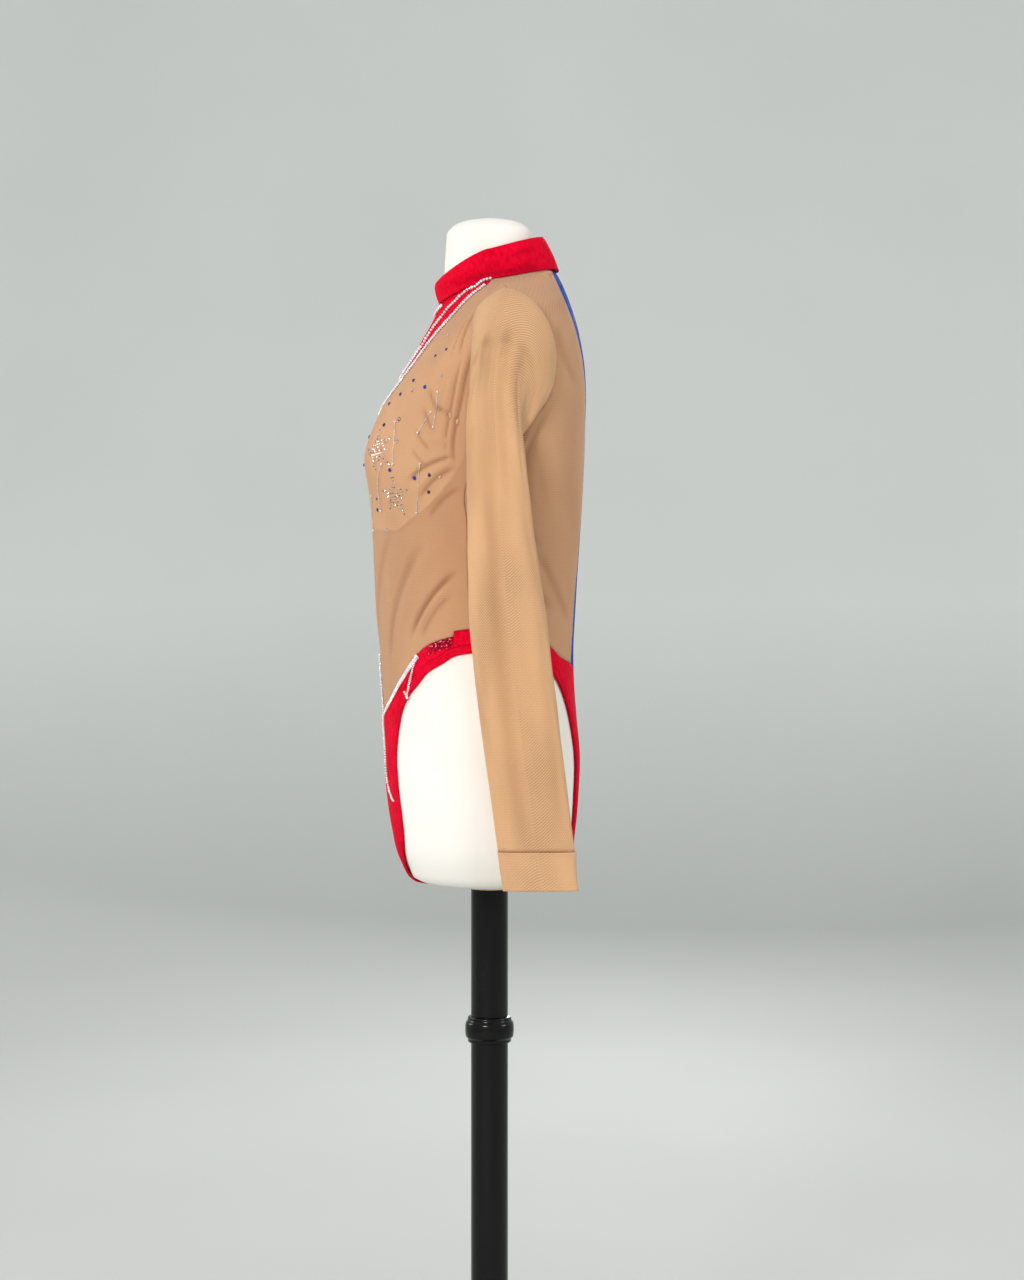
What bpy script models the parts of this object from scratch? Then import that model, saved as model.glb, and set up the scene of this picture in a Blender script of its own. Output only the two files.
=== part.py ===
"""Long-sleeved leotard worn on a limbless dress form on a pole stand.

Metres, +Z up, the wearer faces -Y and the wearer's left is +X.
The origin is on the floor, on the axis of the pole.

One smooth body surface carries the whole garment.  A place on it is given by
the angle around the body (0 at centre front, 90 at the wearer's left side,
180 at centre back) and by a level, the height of that ring at centre front.
Every cut piece is an outline of shared seam lines on this surface, taken in
by half a seam gap, filled with a net of points and given a wall.
"""
import math

import bpy
from mathutils import Vector
from mathutils.geometry import delaunay_2d_cdt

for old in list(bpy.data.objects):
    bpy.data.objects.remove(old, do_unlink=True)

# Sizes
WALL = 0.0012            # cloth
SEAM_GAP = 0.0003        # between two sewn pieces
NET = 0.0205             # spacing of the points inside a piece
STEP = 0.0180            # spacing of the points along a seam
# Depth of the dress form below the outer face of the cloth, by level
FORM_CLEAR = ((1.362, 0.0042), (1.100, 0.0042), (1.030, 0.0042), (0.985, 0.0028), (0.940, 0.0026),
              (0.830, 0.0026), (0.790, 0.0029), (0.752, 0.0040))
BUST_SLACK = 0.0045     # further room for the lining over the bust
BAND_WIDE = 0.0090       # rolled binding of a leg opening
NECK_LEVEL = 1.362       # level of the neck seam
LOW_LEVEL = 0.752        # level where the strap passes below the form
AROUND_TO_LENGTH = 0.120  # metres of net per radian around the body

# One row per ring of the body: the height at centre front (level), how far
# forward, sideways and back it reaches, the heights at side and back, and
# how square the front and the back half are (2 is an ellipse).
BODY_COLUMNS = ("level", "front_y", "side_x", "side_y", "side_z", "back_y", "back_z",
                "front_square", "back_square")
BODY = (
    (1.362, -0.0525, 0.0620, 0.008, 1.3810, 0.0720, 1.3970, 1.90, 2.00),
    (1.340, -0.0632, 0.0900, 0.012, 1.3745, 0.0795, 1.3810, 1.65, 2.10),
    (1.321, -0.0740, 0.1150, 0.015, 1.3675, 0.0870, 1.3615, 1.55, 2.15),
    (1.302, -0.0837, 0.1360, 0.017, 1.3600, 0.0945, 1.3370, 1.55, 2.20),
    (1.283, -0.0940, 0.1500, 0.018, 1.3500, 0.0990, 1.3155, 1.60, 2.25),
    (1.265, -0.1045, 0.1580, 0.018, 1.3350, 0.1025, 1.2920, 1.70, 2.30),
    (1.248, -0.1155, 0.1610, 0.016, 1.3120, 0.1037, 1.2700, 1.85, 2.35),
    (1.232, -0.1230, 0.1590, 0.012, 1.2820, 0.1037, 1.2500, 1.95, 2.40),
    (1.215, -0.1285, 0.1530, 0.006, 1.2450, 0.1030, 1.2300, 2.05, 2.40),
    (1.197, -0.1315, 0.1470, 0.000, 1.2100, 0.1025, 1.2050, 2.20, 2.40),
    (1.178, -0.1312, 0.1430, -0.006, 1.1820, 0.1015, 1.1800, 2.25, 2.40),
    (1.150, -0.1285, 0.1370, -0.010, 1.1500, 0.1000, 1.1500, 2.20, 2.35),
    (1.110, -0.1258, 0.1280, -0.012, 1.1100, 0.0975, 1.1100, 2.15, 2.30),
    (1.065, -0.1238, 0.1225, -0.013, 1.0650, 0.0945, 1.0650, 2.10, 2.30),
    (1.030, -0.1220, 0.1265, -0.013, 1.0300, 0.0925, 1.0300, 2.05, 2.25),
    (0.990, -0.1180, 0.1390, -0.012, 0.9900, 0.0905, 0.9900, 2.00, 2.20),
    (0.955, -0.1157, 0.1510, -0.011, 0.9550, 0.0912, 0.9550, 1.95, 2.20),
    (0.920, -0.1137, 0.1580, -0.010, 0.9200, 0.0937, 0.9200, 1.90, 2.20),
    (0.875, -0.1134, 0.1610, -0.008, 0.8750, 0.0975, 0.8750, 1.90, 2.20),
    (0.835, -0.1107, 0.1590, -0.007, 0.8350, 0.0960, 0.8350, 1.90, 2.20),
    (0.800, -0.1055, 0.1530, -0.006, 0.8000, 0.0930, 0.8000, 1.90, 2.20),
    (0.770, -0.0985, 0.1440, -0.005, 0.7700, 0.0875, 0.7700, 1.95, 2.20),
    (0.752, -0.0900, 0.1340, -0.004, 0.7520, 0.0790, 0.7520, 2.00, 2.20),
)
SIDE_HEIGHT_POWER = 1.25     # how fast a ring rises from centre to side
BUST_X, BUST_Z = 0.080, 1.192
BUST_RISE, BUST_WIDE, BUST_TALL = 0.010, 0.040, 0.040

# Seams
# Rows are (degrees around, level); a smooth line runs through them.
SHOULDER = ((84.0, 1.3620), (89.0, 1.3300), (92.6, 1.2952))
YOKE_EDGE = ((84.0, 1.3620), (77.0, 1.3483), (66.0, 1.3411), (58.5, 1.3350), (48.0, 1.3200),
             (35.5, 1.3020), (28.5, 1.2845), (19.5, 1.2665), (9.0, 1.2540), (0.0, 1.2430))
CENTRE_FRONT = ((0.0, 1.2430), (0.0, 0.9840))
SIDE_SEAM = ((94.9, 1.1930), (88.5, 1.1730), (85.0, 1.1530), (85.9, 1.1230), (86.4, 1.0820),
             (86.8, 1.0410), (87.0, 1.0113))
BLUE_EDGE = ((158.0, 1.3620), (152.5, 1.3340), (153.0, 1.3120), (157.0, 1.2940), (162.0, 1.2750),
             (168.5, 1.2480), (173.5, 1.2150), (175.5, 1.1700), (175.5, 1.1200), (173.0, 1.0800),
             (169.5, 1.0450), (168.0, 1.0000), (165.0, 0.9750))
# red briefs: top edge from the step at the front hip round to centre back
HIP_STEP = ((77.3, 1.0035), (78.1, 1.0092))
BRIEF_TOP_SIDE = ((78.1, 1.0092), (82.5, 1.0104), (87.0, 1.0113))
BRIEF_TOP_BACK = ((87.0, 1.0113), (110.0, 1.0070), (134.8, 0.9953), (146.0, 0.9833), (165.0, 0.9750))
BRIEF_TOP_POINT = ((165.0, 0.9750), (180.0, 0.9620))
HIP_TOP = ((53.6, 0.9850), (60.7, 0.9938), (69.4, 1.0000), (77.3, 1.0035))
ZIGZAG_UP = ((10.3, 0.9205), (27.1, 0.9391), (38.9, 0.9584), (53.6, 0.9850))
ZIGZAG_PEAK = ((0.0, 0.9840), (7.0, 0.9500), (10.3, 0.9205))
CENTRE_BACK = ((180.0, 0.9620), (180.0, 0.8800), (180.4, 0.8300), (182.0, 0.7900), (185.0, 0.7520))

# leg opening: the side top is the highest place; the last rows differ left
# and right because the strap passes beside the pole
LEG_SIDE_TO_HIP = ((98.0, 0.9880), (88.0, 0.9867), (76.7, 0.9827))
LEG_HIP_TO_ZIGZAG = ((76.7, 0.9827), (69.9, 0.9755), (61.0, 0.9672), (52.6, 0.9532), (43.8, 0.9390))
LEG_FRONT_LEFT = ((43.8, 0.9390), (37.9, 0.9244), (33.5, 0.9030), (31.2, 0.8788), (31.4, 0.8432),
                  (31.6, 0.8150), (29.5, 0.7900), (24.5, 0.7700), (17.4, 0.7520))
LEG_FRONT_RIGHT = ((43.8, 0.9390), (37.9, 0.9244), (33.5, 0.9030), (32.0, 0.8788), (31.3, 0.8432),
                   (30.3, 0.8072), (29.0, 0.7826), (28.0, 0.7660), (27.5, 0.7520))
LEG_BACK_LEFT = ((98.0, 0.9880), (118.0, 0.9815), (137.2, 0.9669), (144.9, 0.9527), (152.0, 0.9334),
                 (156.3, 0.9139), (159.0, 0.8900), (160.2, 0.8662), (161.5, 0.8301), (163.6, 0.7935),
                 (165.8, 0.7700), (167.8, 0.7520))
LEG_BACK_RIGHT = ((98.0, 0.9880), (118.0, 0.9815), (137.2, 0.9669), (144.9, 0.9527), (152.0, 0.9334),
                  (156.3, 0.9139), (159.0, 0.8900), (160.2, 0.8662), (160.9, 0.8301), (160.6, 0.7935),
                  (158.8, 0.7700), (156.6, 0.7520))

# Strap below the form: where its middle runs and how wide it is, front to back.
STRAP_COLUMNS = ("x", "y", "z", "width")
STRAP = (
    (-0.0370, -0.0785, 0.7388, 0.058),
    (-0.0445, -0.0630, 0.7358, 0.057),
    (-0.0505, -0.0440, 0.7345, 0.061),
    (-0.0560, -0.0220, 0.7335, 0.058),
    (-0.0565, 0.0050, 0.7335, 0.057),
    (-0.0550, 0.0290, 0.7336, 0.058),
    (-0.0430, 0.0490, 0.7345, 0.066),
    (-0.0260, 0.0660, 0.7390, 0.080),
)

# Armhole: the phase runs from the shoulder (0) down the front to the
# underarm (180) and up the back to the shoulder (360).
ARMHOLE_COLUMNS = ("phase", "around_deg", "level")
ARMHOLE = (
    (0, 92.6, 1.2952), (30, 79.0, 1.3035), (60, 69.5, 1.2985), (85, 68.5, 1.2800),
    (110, 72.0, 1.2600), (135, 79.0, 1.2375), (158, 87.0, 1.2130), (180, 94.9, 1.1930),
    (205, 103.5, 1.1985), (230, 111.5, 1.2095), (255, 118.5, 1.2185), (280, 123.0, 1.2320),
    (300, 123.5, 1.2470), (322, 118.0, 1.2665), (342, 106.5, 1.2840),
)
AROUND_SLEEVE = 22       # points round a sleeve

# Sleeve rings below the armhole: outermost and innermost x with their
# heights, the front and back fold, how much of the ring is free of the
# armhole's own shape, and the depth of the long valley on the outer side.
SLEEVE_COLUMNS = ("outer_x", "outer_z", "inner_x", "inner_z", "front_y", "back_y", "free", "valley")
SLEEVE = (
    (0.1520, 1.3530, 0.1500, 1.2060, -0.0135, 0.0660, 0.15, 0.0000),
    (0.1640, 1.3450, 0.1530, 1.2065, -0.0150, 0.0620, 0.40, 0.0000),
    (0.1760, 1.3320, 0.1550, 1.2045, -0.0165, 0.0560, 0.65, 0.0000),
    (0.1840, 1.3140, 0.1560, 1.2000, -0.0172, 0.0490, 0.85, 0.0000),
    (0.1835, 1.2980, 0.1560, 1.1940, -0.0176, 0.0420, 1.00, 0.0010),
    (0.1890, 1.2780, 0.1560, 1.1850, -0.0185, 0.0355, 1.00, 0.0030),
    (0.1910, 1.2450, 0.1555, 1.1730, -0.0213, 0.0335, 1.00, 0.0040),
    (0.1920, 1.2050, 0.1550, 1.1550, -0.0206, 0.0370, 1.00, 0.0040),
    (0.1930, 1.1600, 0.1540, 1.1300, -0.0201, 0.0413, 1.00, 0.0035),
    (0.1940, 1.1130, 0.1540, 1.0980, -0.0192, 0.0460, 1.00, 0.0030),
    (0.1940, 1.0650, 0.1560, 1.0600, -0.0186, 0.0525, 1.00, 0.0030),
    (0.1930, 1.0190, 0.1590, 1.0180, -0.0175, 0.0585, 1.00, 0.0030),
    (0.1920, 0.9740, 0.1620, 0.9740, -0.0136, 0.0632, 1.00, 0.0030),
    (0.1910, 0.9290, 0.1650, 0.9290, -0.0085, 0.0688, 1.00, 0.0025),
    (0.1900, 0.8840, 0.1670, 0.8840, -0.0026, 0.0742, 1.00, 0.0020),
    (0.1890, 0.8380, 0.1690, 0.8380, 0.0045, 0.0804, 1.00, 0.0015),
    (0.1880, 0.7880, 0.1710, 0.7880, 0.0111, 0.0868, 1.00, 0.0010),
)
CUFF = (
    (0.1884, 0.7877, 0.1706, 0.7877, 0.0107, 0.0872, 1.00, 0.0010),
    (0.1886, 0.7690, 0.1706, 0.7690, 0.0135, 0.0880, 1.00, 0.0006),
    (0.1886, 0.7485, 0.1708, 0.7485, 0.0170, 0.0898, 1.00, 0.0004),
)
VALLEY_WIDE = 0.009
SLEEVE_ROUND = 2.3       # squareness of the hanging tube
# At the back of the underarm the sleeve head leaves the body this much less.
LOW_BACK_PHASE, LOW_BACK_WIDE, LOW_BACK_HELD = 225.0, 48.0, 0.55

# Collar: seam and top edge, each as front, side and back.
COLLAR_TOP_FRONT_Y, COLLAR_TOP_BACK_Y = -0.0580, 0.0560
COLLAR_TOP_SIDE_X, COLLAR_TOP_SIDE_Y = 0.0570, -0.0010
COLLAR_TOP_FRONT_Z, COLLAR_TOP_SIDE_Z, COLLAR_TOP_BACK_Z = 1.3825, 1.4125, 1.4320
COLLAR_WALL = 0.0016
COLLAR_LAP_DEG = 10.0    # each end passes centre back by this
COLLAR_LAP_STEP = 0.0021  # the outer end stands off the inner one

# Lining behind the bust, inside the front panels.
LINING_DEPTH = 0.0016    # from the outer face of the cloth to the lining
LINING_WALL = 0.0010
LINING = ((3.0, 1.1200), (20.0, 1.1175), (35.4, 1.1150), (46.7, 1.1155), (52.7, 1.1222),
          (62.6, 1.1330), (71.4, 1.1466), (77.0, 1.1600), (83.0, 1.1800), (80.0, 1.2080),
          (72.0, 1.2380), (63.0, 1.2620), (50.0, 1.2800), (37.0, 1.2800), (25.0, 1.2580),
          (12.0, 1.2400), (3.0, 1.2300), (3.0, 1.1900), (3.0, 1.1500))

# Dress form above the neck seam: rings given by radius and three heights.
NECK_COLUMNS = ("radius", "front_z", "side_z", "back_z")
NECK = (
    (0.0515, 1.3700, 1.3900, 1.4070),
    (0.0495, 1.3840, 1.3990, 1.4130),
    (0.0480, 1.4080, 1.4130, 1.4200),
    (0.0462, 1.4340, 1.4350, 1.4360),
    (0.0440, 1.4410, 1.4410, 1.4410),
    (0.0340, 1.4485, 1.4485, 1.4485),
    (0.0170, 1.4525, 1.4525, 1.4525),
)
NECK_TOP_Z = 1.4536
FORM_COLUMNS_AROUND = 32
FORM_LEVELS = (1.362, 1.340, 1.315, 1.290, 1.265, 1.245, 1.225, 1.205, 1.180, 1.145, 1.105,
               1.065, 1.025, 0.985, 0.945, 0.905, 0.865, 0.825, 0.790, 0.765, 0.752)
FORM_FLOOR = ((0.955, 0.7470), (0.880, 0.7435), (0.760, 0.7415), (0.400, 0.7405))
FORM_FLOOR_Z = 0.7405

# Stand.
PLATE_RADIUS, PLATE_TOP, PLATE_LOW = 0.0215, 0.7402, 0.7318
POLE_RADIUS, POLE_TOP = 0.0200, 0.7315
RING_PROFILE = ((0.0205, 0.5945), (0.0232, 0.5935), (0.0236, 0.5905), (0.0256, 0.5875),
                (0.0262, 0.5840), (0.0262, 0.5760), (0.0256, 0.5725), (0.0236, 0.5700),
                (0.0232, 0.5670), (0.0205, 0.5660))
BASE_PROFILE = ((0.0215, 0.0300), (0.0260, 0.0300), (0.0330, 0.0265), (0.0900, 0.0215),
                (0.1500, 0.0160), (0.1680, 0.0120), (0.1700, 0.0080), (0.1700, 0.0000))
BASE_TOP = 0.0300
AROUND_STAND = 32


# Colour, roughness and metallic value of each finish, and the pieces that have it.
FINISHES = {
    "nude_mesh": ((0.62, 0.40, 0.23, 1.0), 0.75, 0.0),
    "red_cloth": ((0.62, 0.01, 0.03, 1.0), 0.45, 0.0),
    "blue_cloth": ((0.03, 0.08, 0.42, 1.0), 0.45, 0.0),
    "lining": ((0.66, 0.44, 0.27, 1.0), 0.80, 0.0),
    "form_cover": ((0.87, 0.82, 0.74, 1.0), 0.85, 0.0),
    "plate_wood": ((0.72, 0.58, 0.40, 1.0), 0.60, 0.0),
    "black_gloss": ((0.01, 0.01, 0.01, 1.0), 0.15, 0.5),
}
FINISH_OF = {
    "front_panel": "nude_mesh", "back_panel": "nude_mesh", "sleeve": "nude_mesh", "cuff": "nude_mesh",
    "collar": "red_cloth", "yoke": "red_cloth", "brief": "red_cloth", "hip": "red_cloth",
    "gusset": "red_cloth", "leg": "red_cloth", "back_center": "blue_cloth", "cup": "lining",
    "dress": "form_cover", "form": "plate_wood", "pole": "black_gloss", "stand": "black_gloss",
}
SHARP_DEG = 40.0         # faces that meet at more than this keep their edge


# The body surface
def hermite(xs, ys, x):
    """Value at x of the smooth curve through the given rows."""
    if xs[0] > xs[-1]:
        xs, ys = xs[::-1], ys[::-1]
    last = len(xs) - 1
    k = 0
    while k < last - 1 and xs[k + 1] <= x:
        k += 1
    steps = [xs[i + 1] - xs[i] for i in range(last)]
    rises = [(ys[i + 1] - ys[i]) / steps[i] for i in range(last)]

    def slope(i):
        if i == 0:
            return rises[0]
        if i == last:
            return rises[-1]
        return (rises[i - 1] * steps[i] + rises[i] * steps[i - 1]) / (steps[i - 1] + steps[i])

    t = (x - xs[k]) / steps[k]
    a, b = slope(k) * steps[k], slope(k + 1) * steps[k]
    return ((2 * t ** 3 - 3 * t * t + 1) * ys[k] + (t ** 3 - 2 * t * t + t) * a
            + (3 * t * t - 2 * t ** 3) * ys[k + 1] + (t ** 3 - t * t) * b)


LEVELS = [row[0] for row in BODY]
BODY_CURVES = {name: [row[i] for row in BODY] for i, name in enumerate(BODY_COLUMNS)}
ring_memory = {}


def ring(level):
    key = round(level, 7)
    if key not in ring_memory:
        ring_memory[key] = {name: hermite(LEVELS, BODY_CURVES[name], level)
                            for name in BODY_COLUMNS[1:]}
    return ring_memory[key]


def body(around, level):
    """Outer face of the garment at an angle in radians and a level."""
    r = ring(level)
    s, c = math.sin(around), math.cos(around)
    half = "front" if c >= 0 else "back"
    power = 2.0 / r[half + "_square"]
    end_z = level if half == "front" else r["back_z"]
    reach = abs(c) ** power
    rise = abs(c) ** SIDE_HEIGHT_POWER
    x = r["side_x"] * math.copysign(abs(s) ** power, s)
    y = r["side_y"] + (r[half + "_y"] - r["side_y"]) * reach
    z = r["side_z"] + (end_z - r["side_z"]) * rise
    if half == "front":
        across = (abs(x) - BUST_X) / BUST_WIDE
        up = (z - BUST_Z) / BUST_TALL
        y -= BUST_RISE * math.exp(-across * across - up * up)
    return Vector((x, y, z))


def body_normal(around, level):
    e = 1e-3
    sideways = body(around + e, level) - body(around - e, level)
    upward = body(around, level + e) - body(around, level - e)
    return sideways.cross(upward).normalized()


# Seam lines
def radians(rows):
    return [(math.radians(a), level) for a, level in rows]


def mirror(line):
    return [(-a, level) for a, level in line]


def smooth_chain(tables, spacing=STEP):
    """One smooth line through tables that follow each other, given as a line
    for each table.  Every row is kept."""
    rows = radians(tables[0])
    ends = [0, len(rows) - 1]
    for table in tables[1:]:
        rows += radians(table)[1:]
        ends.append(len(rows) - 1)
    flat = [(a * AROUND_TO_LENGTH, level) for a, level in rows]
    run = [0.0]
    for p, q in zip(flat, flat[1:]):
        run.append(run[-1] + math.hypot(q[0] - p[0], q[1] - p[1]))
    line = [rows[0]]
    marks = [0]
    for k in range(len(rows) - 1):
        real = (body(*rows[k + 1]) - body(*rows[k])).length
        count = max(1, round(real / spacing))
        for i in range(1, count + 1):
            at = run[k] + (run[k + 1] - run[k]) * i / count
            if i == count:
                line.append(rows[k + 1])
            elif len(rows) > 2:
                line.append((hermite(run, [r[0] for r in rows], at),
                             hermite(run, [r[1] for r in rows], at)))
            else:
                line.append((rows[k][0] + (rows[k + 1][0] - rows[k][0]) * i / count,
                             rows[k][1] + (rows[k + 1][1] - rows[k][1]) * i / count))
        marks.append(len(line) - 1)
    return [line[marks[a]:marks[b] + 1] for a, b in zip(ends, ends[1:])]


def smooth_line(rows, spacing=STEP):
    """Points along the line through the rows, every row kept."""
    return smooth_chain([rows], spacing)[0]


def level_line(start_deg, end_deg, level, spacing=STEP):
    """Points along one ring of the body."""
    start, end = math.radians(start_deg), math.radians(end_deg)
    fine = [start + (end - start) * i / 200 for i in range(201)]
    length = sum((body(b, level) - body(a, level)).length for a, b in zip(fine, fine[1:]))
    count = max(2, round(length / spacing))
    return [(start + (end - start) * i / count, level) for i in range(count + 1)]


def joined(*lines):
    """One closed outline from lines that follow each other."""
    outline = []
    for line in lines:
        outline.extend(line[:-1])
    return outline


def back(line):
    return line[::-1]


# Solids
def finish_for(name):
    """The material of a piece, found by the start of its name."""
    fitting = [start for start in FINISH_OF if name.startswith(start)]
    kind = FINISH_OF[max(fitting, key=len)]
    if kind in bpy.data.materials:
        return bpy.data.materials[kind]
    colour, roughness, metallic = FINISHES[kind]
    material = bpy.data.materials.new(kind)
    material.use_nodes = True
    shader = material.node_tree.nodes["Principled BSDF"]
    shader.inputs["Base Color"].default_value = colour
    shader.inputs["Roughness"].default_value = roughness
    shader.inputs["Metallic"].default_value = metallic
    return material


def add_solid(name, points, faces):
    mesh = bpy.data.meshes.new(name)
    mesh.from_pydata([tuple(p) for p in points], [], faces)
    mesh.validate()
    mesh.materials.append(finish_for(name))
    mesh.shade_smooth()
    mesh.set_sharp_from_angle(angle=math.radians(SHARP_DEG))
    mesh.update()
    thing = bpy.data.objects.new(name, mesh)
    bpy.context.scene.collection.objects.link(thing)
    return thing


def in_surface(points, normals, inward=1.0):
    """Unit direction in the surface, square to a closed line, and the stretch at each corner."""
    moves = []
    count = len(points)
    for i in range(count):
        before = (points[i] - points[i - 1]).normalized()
        after = (points[(i + 1) % count] - points[i]).normalized()
        a = normals[i].cross(before).normalized() * inward
        b = normals[i].cross(after).normalized() * inward
        middle = (a + b).normalized()
        stretch = 1.0 / max(0.12, middle.dot(a))
        moves.append(middle * stretch)
    return moves


def net_points(outlines, spacing):
    """Staggered points inside the first outline, clear of the edges of all."""
    flats = [[(a * AROUND_TO_LENGTH, level) for a, level in outline] for outline in outlines]
    edges = [(p, q, k == 0) for k, flat in enumerate(flats) for p, q in zip(flat, flat[1:] + flat[:1])]
    low_x, high_x = min(p[0] for p in flats[0]), max(p[0] for p in flats[0])
    low_y, high_y = min(p[1] for p in flats[0]), max(p[1] for p in flats[0])
    inside = []
    rows = int((high_y - low_y) / (spacing * 0.87)) + 1
    for j in range(1, rows):
        y = low_y + j * spacing * 0.87
        columns = int((high_x - low_x) / spacing) + 2
        for i in range(columns):
            x = low_x + (i + 0.5 * (j % 2)) * spacing
            odd = False
            near = 1e9
            for p, q, rim in edges:
                crosses = rim and (p[1] > y) != (q[1] > y)
                if crosses and x < p[0] + (y - p[1]) * (q[0] - p[0]) / (q[1] - p[1]):
                    odd = not odd
                run_x, run_y = q[0] - p[0], q[1] - p[1]
                t = ((x - p[0]) * run_x + (y - p[1]) * run_y) / (run_x * run_x + run_y * run_y)
                t = min(1.0, max(0.0, t))
                near = min(near, math.hypot(x - p[0] - t * run_x, y - p[1] - t * run_y))
            if odd and near > spacing * 0.55:
                inside.append((x / AROUND_TO_LENGTH, y))
    return inside


def within(place, outline):
    odd = False
    for p, q in zip(outline, outline[1:] + outline[:1]):
        if (p[1] > place[1]) != (q[1] > place[1]):
            if place[0] < p[0] + (place[1] - p[1]) * (q[0] - p[0]) / (q[1] - p[1]):
                odd = not odd
    return odd


def anticlockwise(outline):
    area = sum(p[0] * q[1] - q[0] * p[1] for p, q in zip(outline, outline[1:] + outline[:1]))
    return outline[::-1] if area < 0 else outline


def layer(name, places, triangles, rim, depth, wall):
    """Closed solid: the triangles at a depth below the body surface, the same
    triangles a wall lower, and an edge along the rim."""
    used = sorted({i for triangle in triangles for i in triangle})
    local = {i: k for k, i in enumerate(used)}
    points = [body(*places[i]) for i in used]
    normals = [body_normal(*places[i]) for i in used]
    moves = in_surface([points[local[i]] for i in rim], [normals[local[i]] for i in rim])
    for i, move in zip(rim, moves):
        points[local[i]] = points[local[i]] + move * (SEAM_GAP / 2)
    outer = [p - n * depth for p, n in zip(points, normals)]
    under = [p - n * (depth + wall) for p, n in zip(points, normals)]
    total = len(used)
    faces = []
    for triangle in triangles:
        a, b, c = [local[i] for i in triangle]
        faces.append((a, b, c))
        faces.append((a + total, c + total, b + total))
    for i, k in zip(rim, rim[1:] + rim[:1]):
        a, b = local[i], local[k]
        faces.append((a, a + total, b + total))
        faces.append((a, b + total, b))
    return add_solid(name, outer + under, faces)


def cut_piece(name, outline, lining_name=None, lining=None):
    """A piece of cloth: its outline and inner net on the body, with a wall.

    A lining, when there is one, is cut from the same net, further in."""
    outline = anticlockwise(outline)
    lining = anticlockwise(lining) if lining else []
    places = outline + lining + net_points([outline] + ([lining] if lining else []), NET)
    flat = [Vector((a * AROUND_TO_LENGTH, level)) for a, level in places]
    rim = list(range(len(outline)))
    lining_rim = list(range(len(outline), len(outline) + len(lining)))
    ties = list(zip(lining_rim, lining_rim[1:] + lining_rim[:1]))
    found, _, found_triangles, origin, _, _ = delaunay_2d_cdt(flat, ties, [rim], 1, 1e-7)
    if len(found) != len(places):
        raise ValueError(name + ": the outline crosses itself")
    triangles = []
    for triangle in found_triangles:
        a, b, c = [origin[i][0] for i in triangle]
        one, two = flat[b] - flat[a], flat[c] - flat[a]
        triangles.append((a, b, c) if one.x * two.y - one.y * two.x > 0 else (a, c, b))
    layer(name, places, triangles, rim, 0.0, WALL)
    if lining:
        covered = []
        for triangle in triangles:
            middle = (sum(places[i][0] for i in triangle) / 3, sum(places[i][1] for i in triangle) / 3)
            if within(middle, lining):
                covered.append(triangle)
        layer(lining_name, places, covered, lining_rim, LINING_DEPTH, LINING_WALL)


def tube(name, outer, inner):
    """Wall between two stacks of closed rings of equal size."""
    around = len(outer[0])
    rings = len(outer)
    points = [p for row in outer for p in row] + [p for row in inner for p in row]
    shift = around * rings
    faces = []
    for r in range(rings - 1):
        for i in range(around):
            k = (i + 1) % around
            a, b = r * around + i, r * around + k
            c, d = (r + 1) * around + i, (r + 1) * around + k
            faces += [(a, c, b), (b, c, d)]
            faces += [(a + shift, b + shift, c + shift), (b + shift, d + shift, c + shift)]
    for i in range(around):
        k = (i + 1) % around
        faces += [(i, k, i + shift), (k, k + shift, i + shift)]
        a, b = (rings - 1) * around + i, (rings - 1) * around + k
        faces += [(a, a + shift, b), (b, a + shift, b + shift)]
    return turned_out(add_solid(name, points, faces))


def turned_out(thing):
    """Turn every face over when the solid's volume comes out negative."""
    mesh = thing.data
    volume = 0.0
    for face in mesh.polygons:
        corners = [mesh.vertices[i].co for i in face.vertices]
        for i in range(1, len(corners) - 1):
            volume += corners[0].dot(corners[i].cross(corners[i + 1]))
    if volume < 0:
        mesh.flip_normals()
    return thing


def stacked(name, rings, low_cap, high_cap):
    """Closed solid from a stack of rings with a middle point at either end."""
    around = len(rings[0])
    points = [p for row in rings for p in row] + [low_cap, high_cap]
    low, high = len(points) - 2, len(points) - 1
    faces = []
    for r in range(len(rings) - 1):
        for i in range(around):
            k = (i + 1) % around
            a, b = r * around + i, r * around + k
            c, d = (r + 1) * around + i, (r + 1) * around + k
            faces += [(a, b, c), (b, d, c)]
    top = (len(rings) - 1) * around
    for i in range(around):
        k = (i + 1) % around
        faces += [(k, i, low), (top + i, top + k, high)]
    return turned_out(add_solid(name, points, faces))


def turned_round(name, profile, around=AROUND_STAND):
    """Closed solid turned about the pole axis from (radius, height) rows, top first."""
    rings = []
    for radius, z in profile[::-1]:
        rings.append([Vector((radius * math.cos(2 * math.pi * i / around),
                              radius * math.sin(2 * math.pi * i / around), z))
                      for i in range(around)])
    return stacked(name, rings, Vector((0, 0, profile[-1][1])), Vector((0, 0, profile[0][1])))


def swept(name, centres, across, up, section):
    """Closed loop of a small section: across and up are the directions at each station."""
    count, sides = len(centres), len(section)
    points = [c + a * s[0] + u * s[1] for c, a, u in zip(centres, across, up) for s in section]
    faces = []
    for i in range(count):
        k = (i + 1) % count
        for j in range(sides):
            m = (j + 1) % sides
            a, b = i * sides + j, i * sides + m
            c, d = k * sides + j, k * sides + m
            faces += [(a, b, c), (b, d, c)]
    return turned_out(add_solid(name, points, faces))


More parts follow.
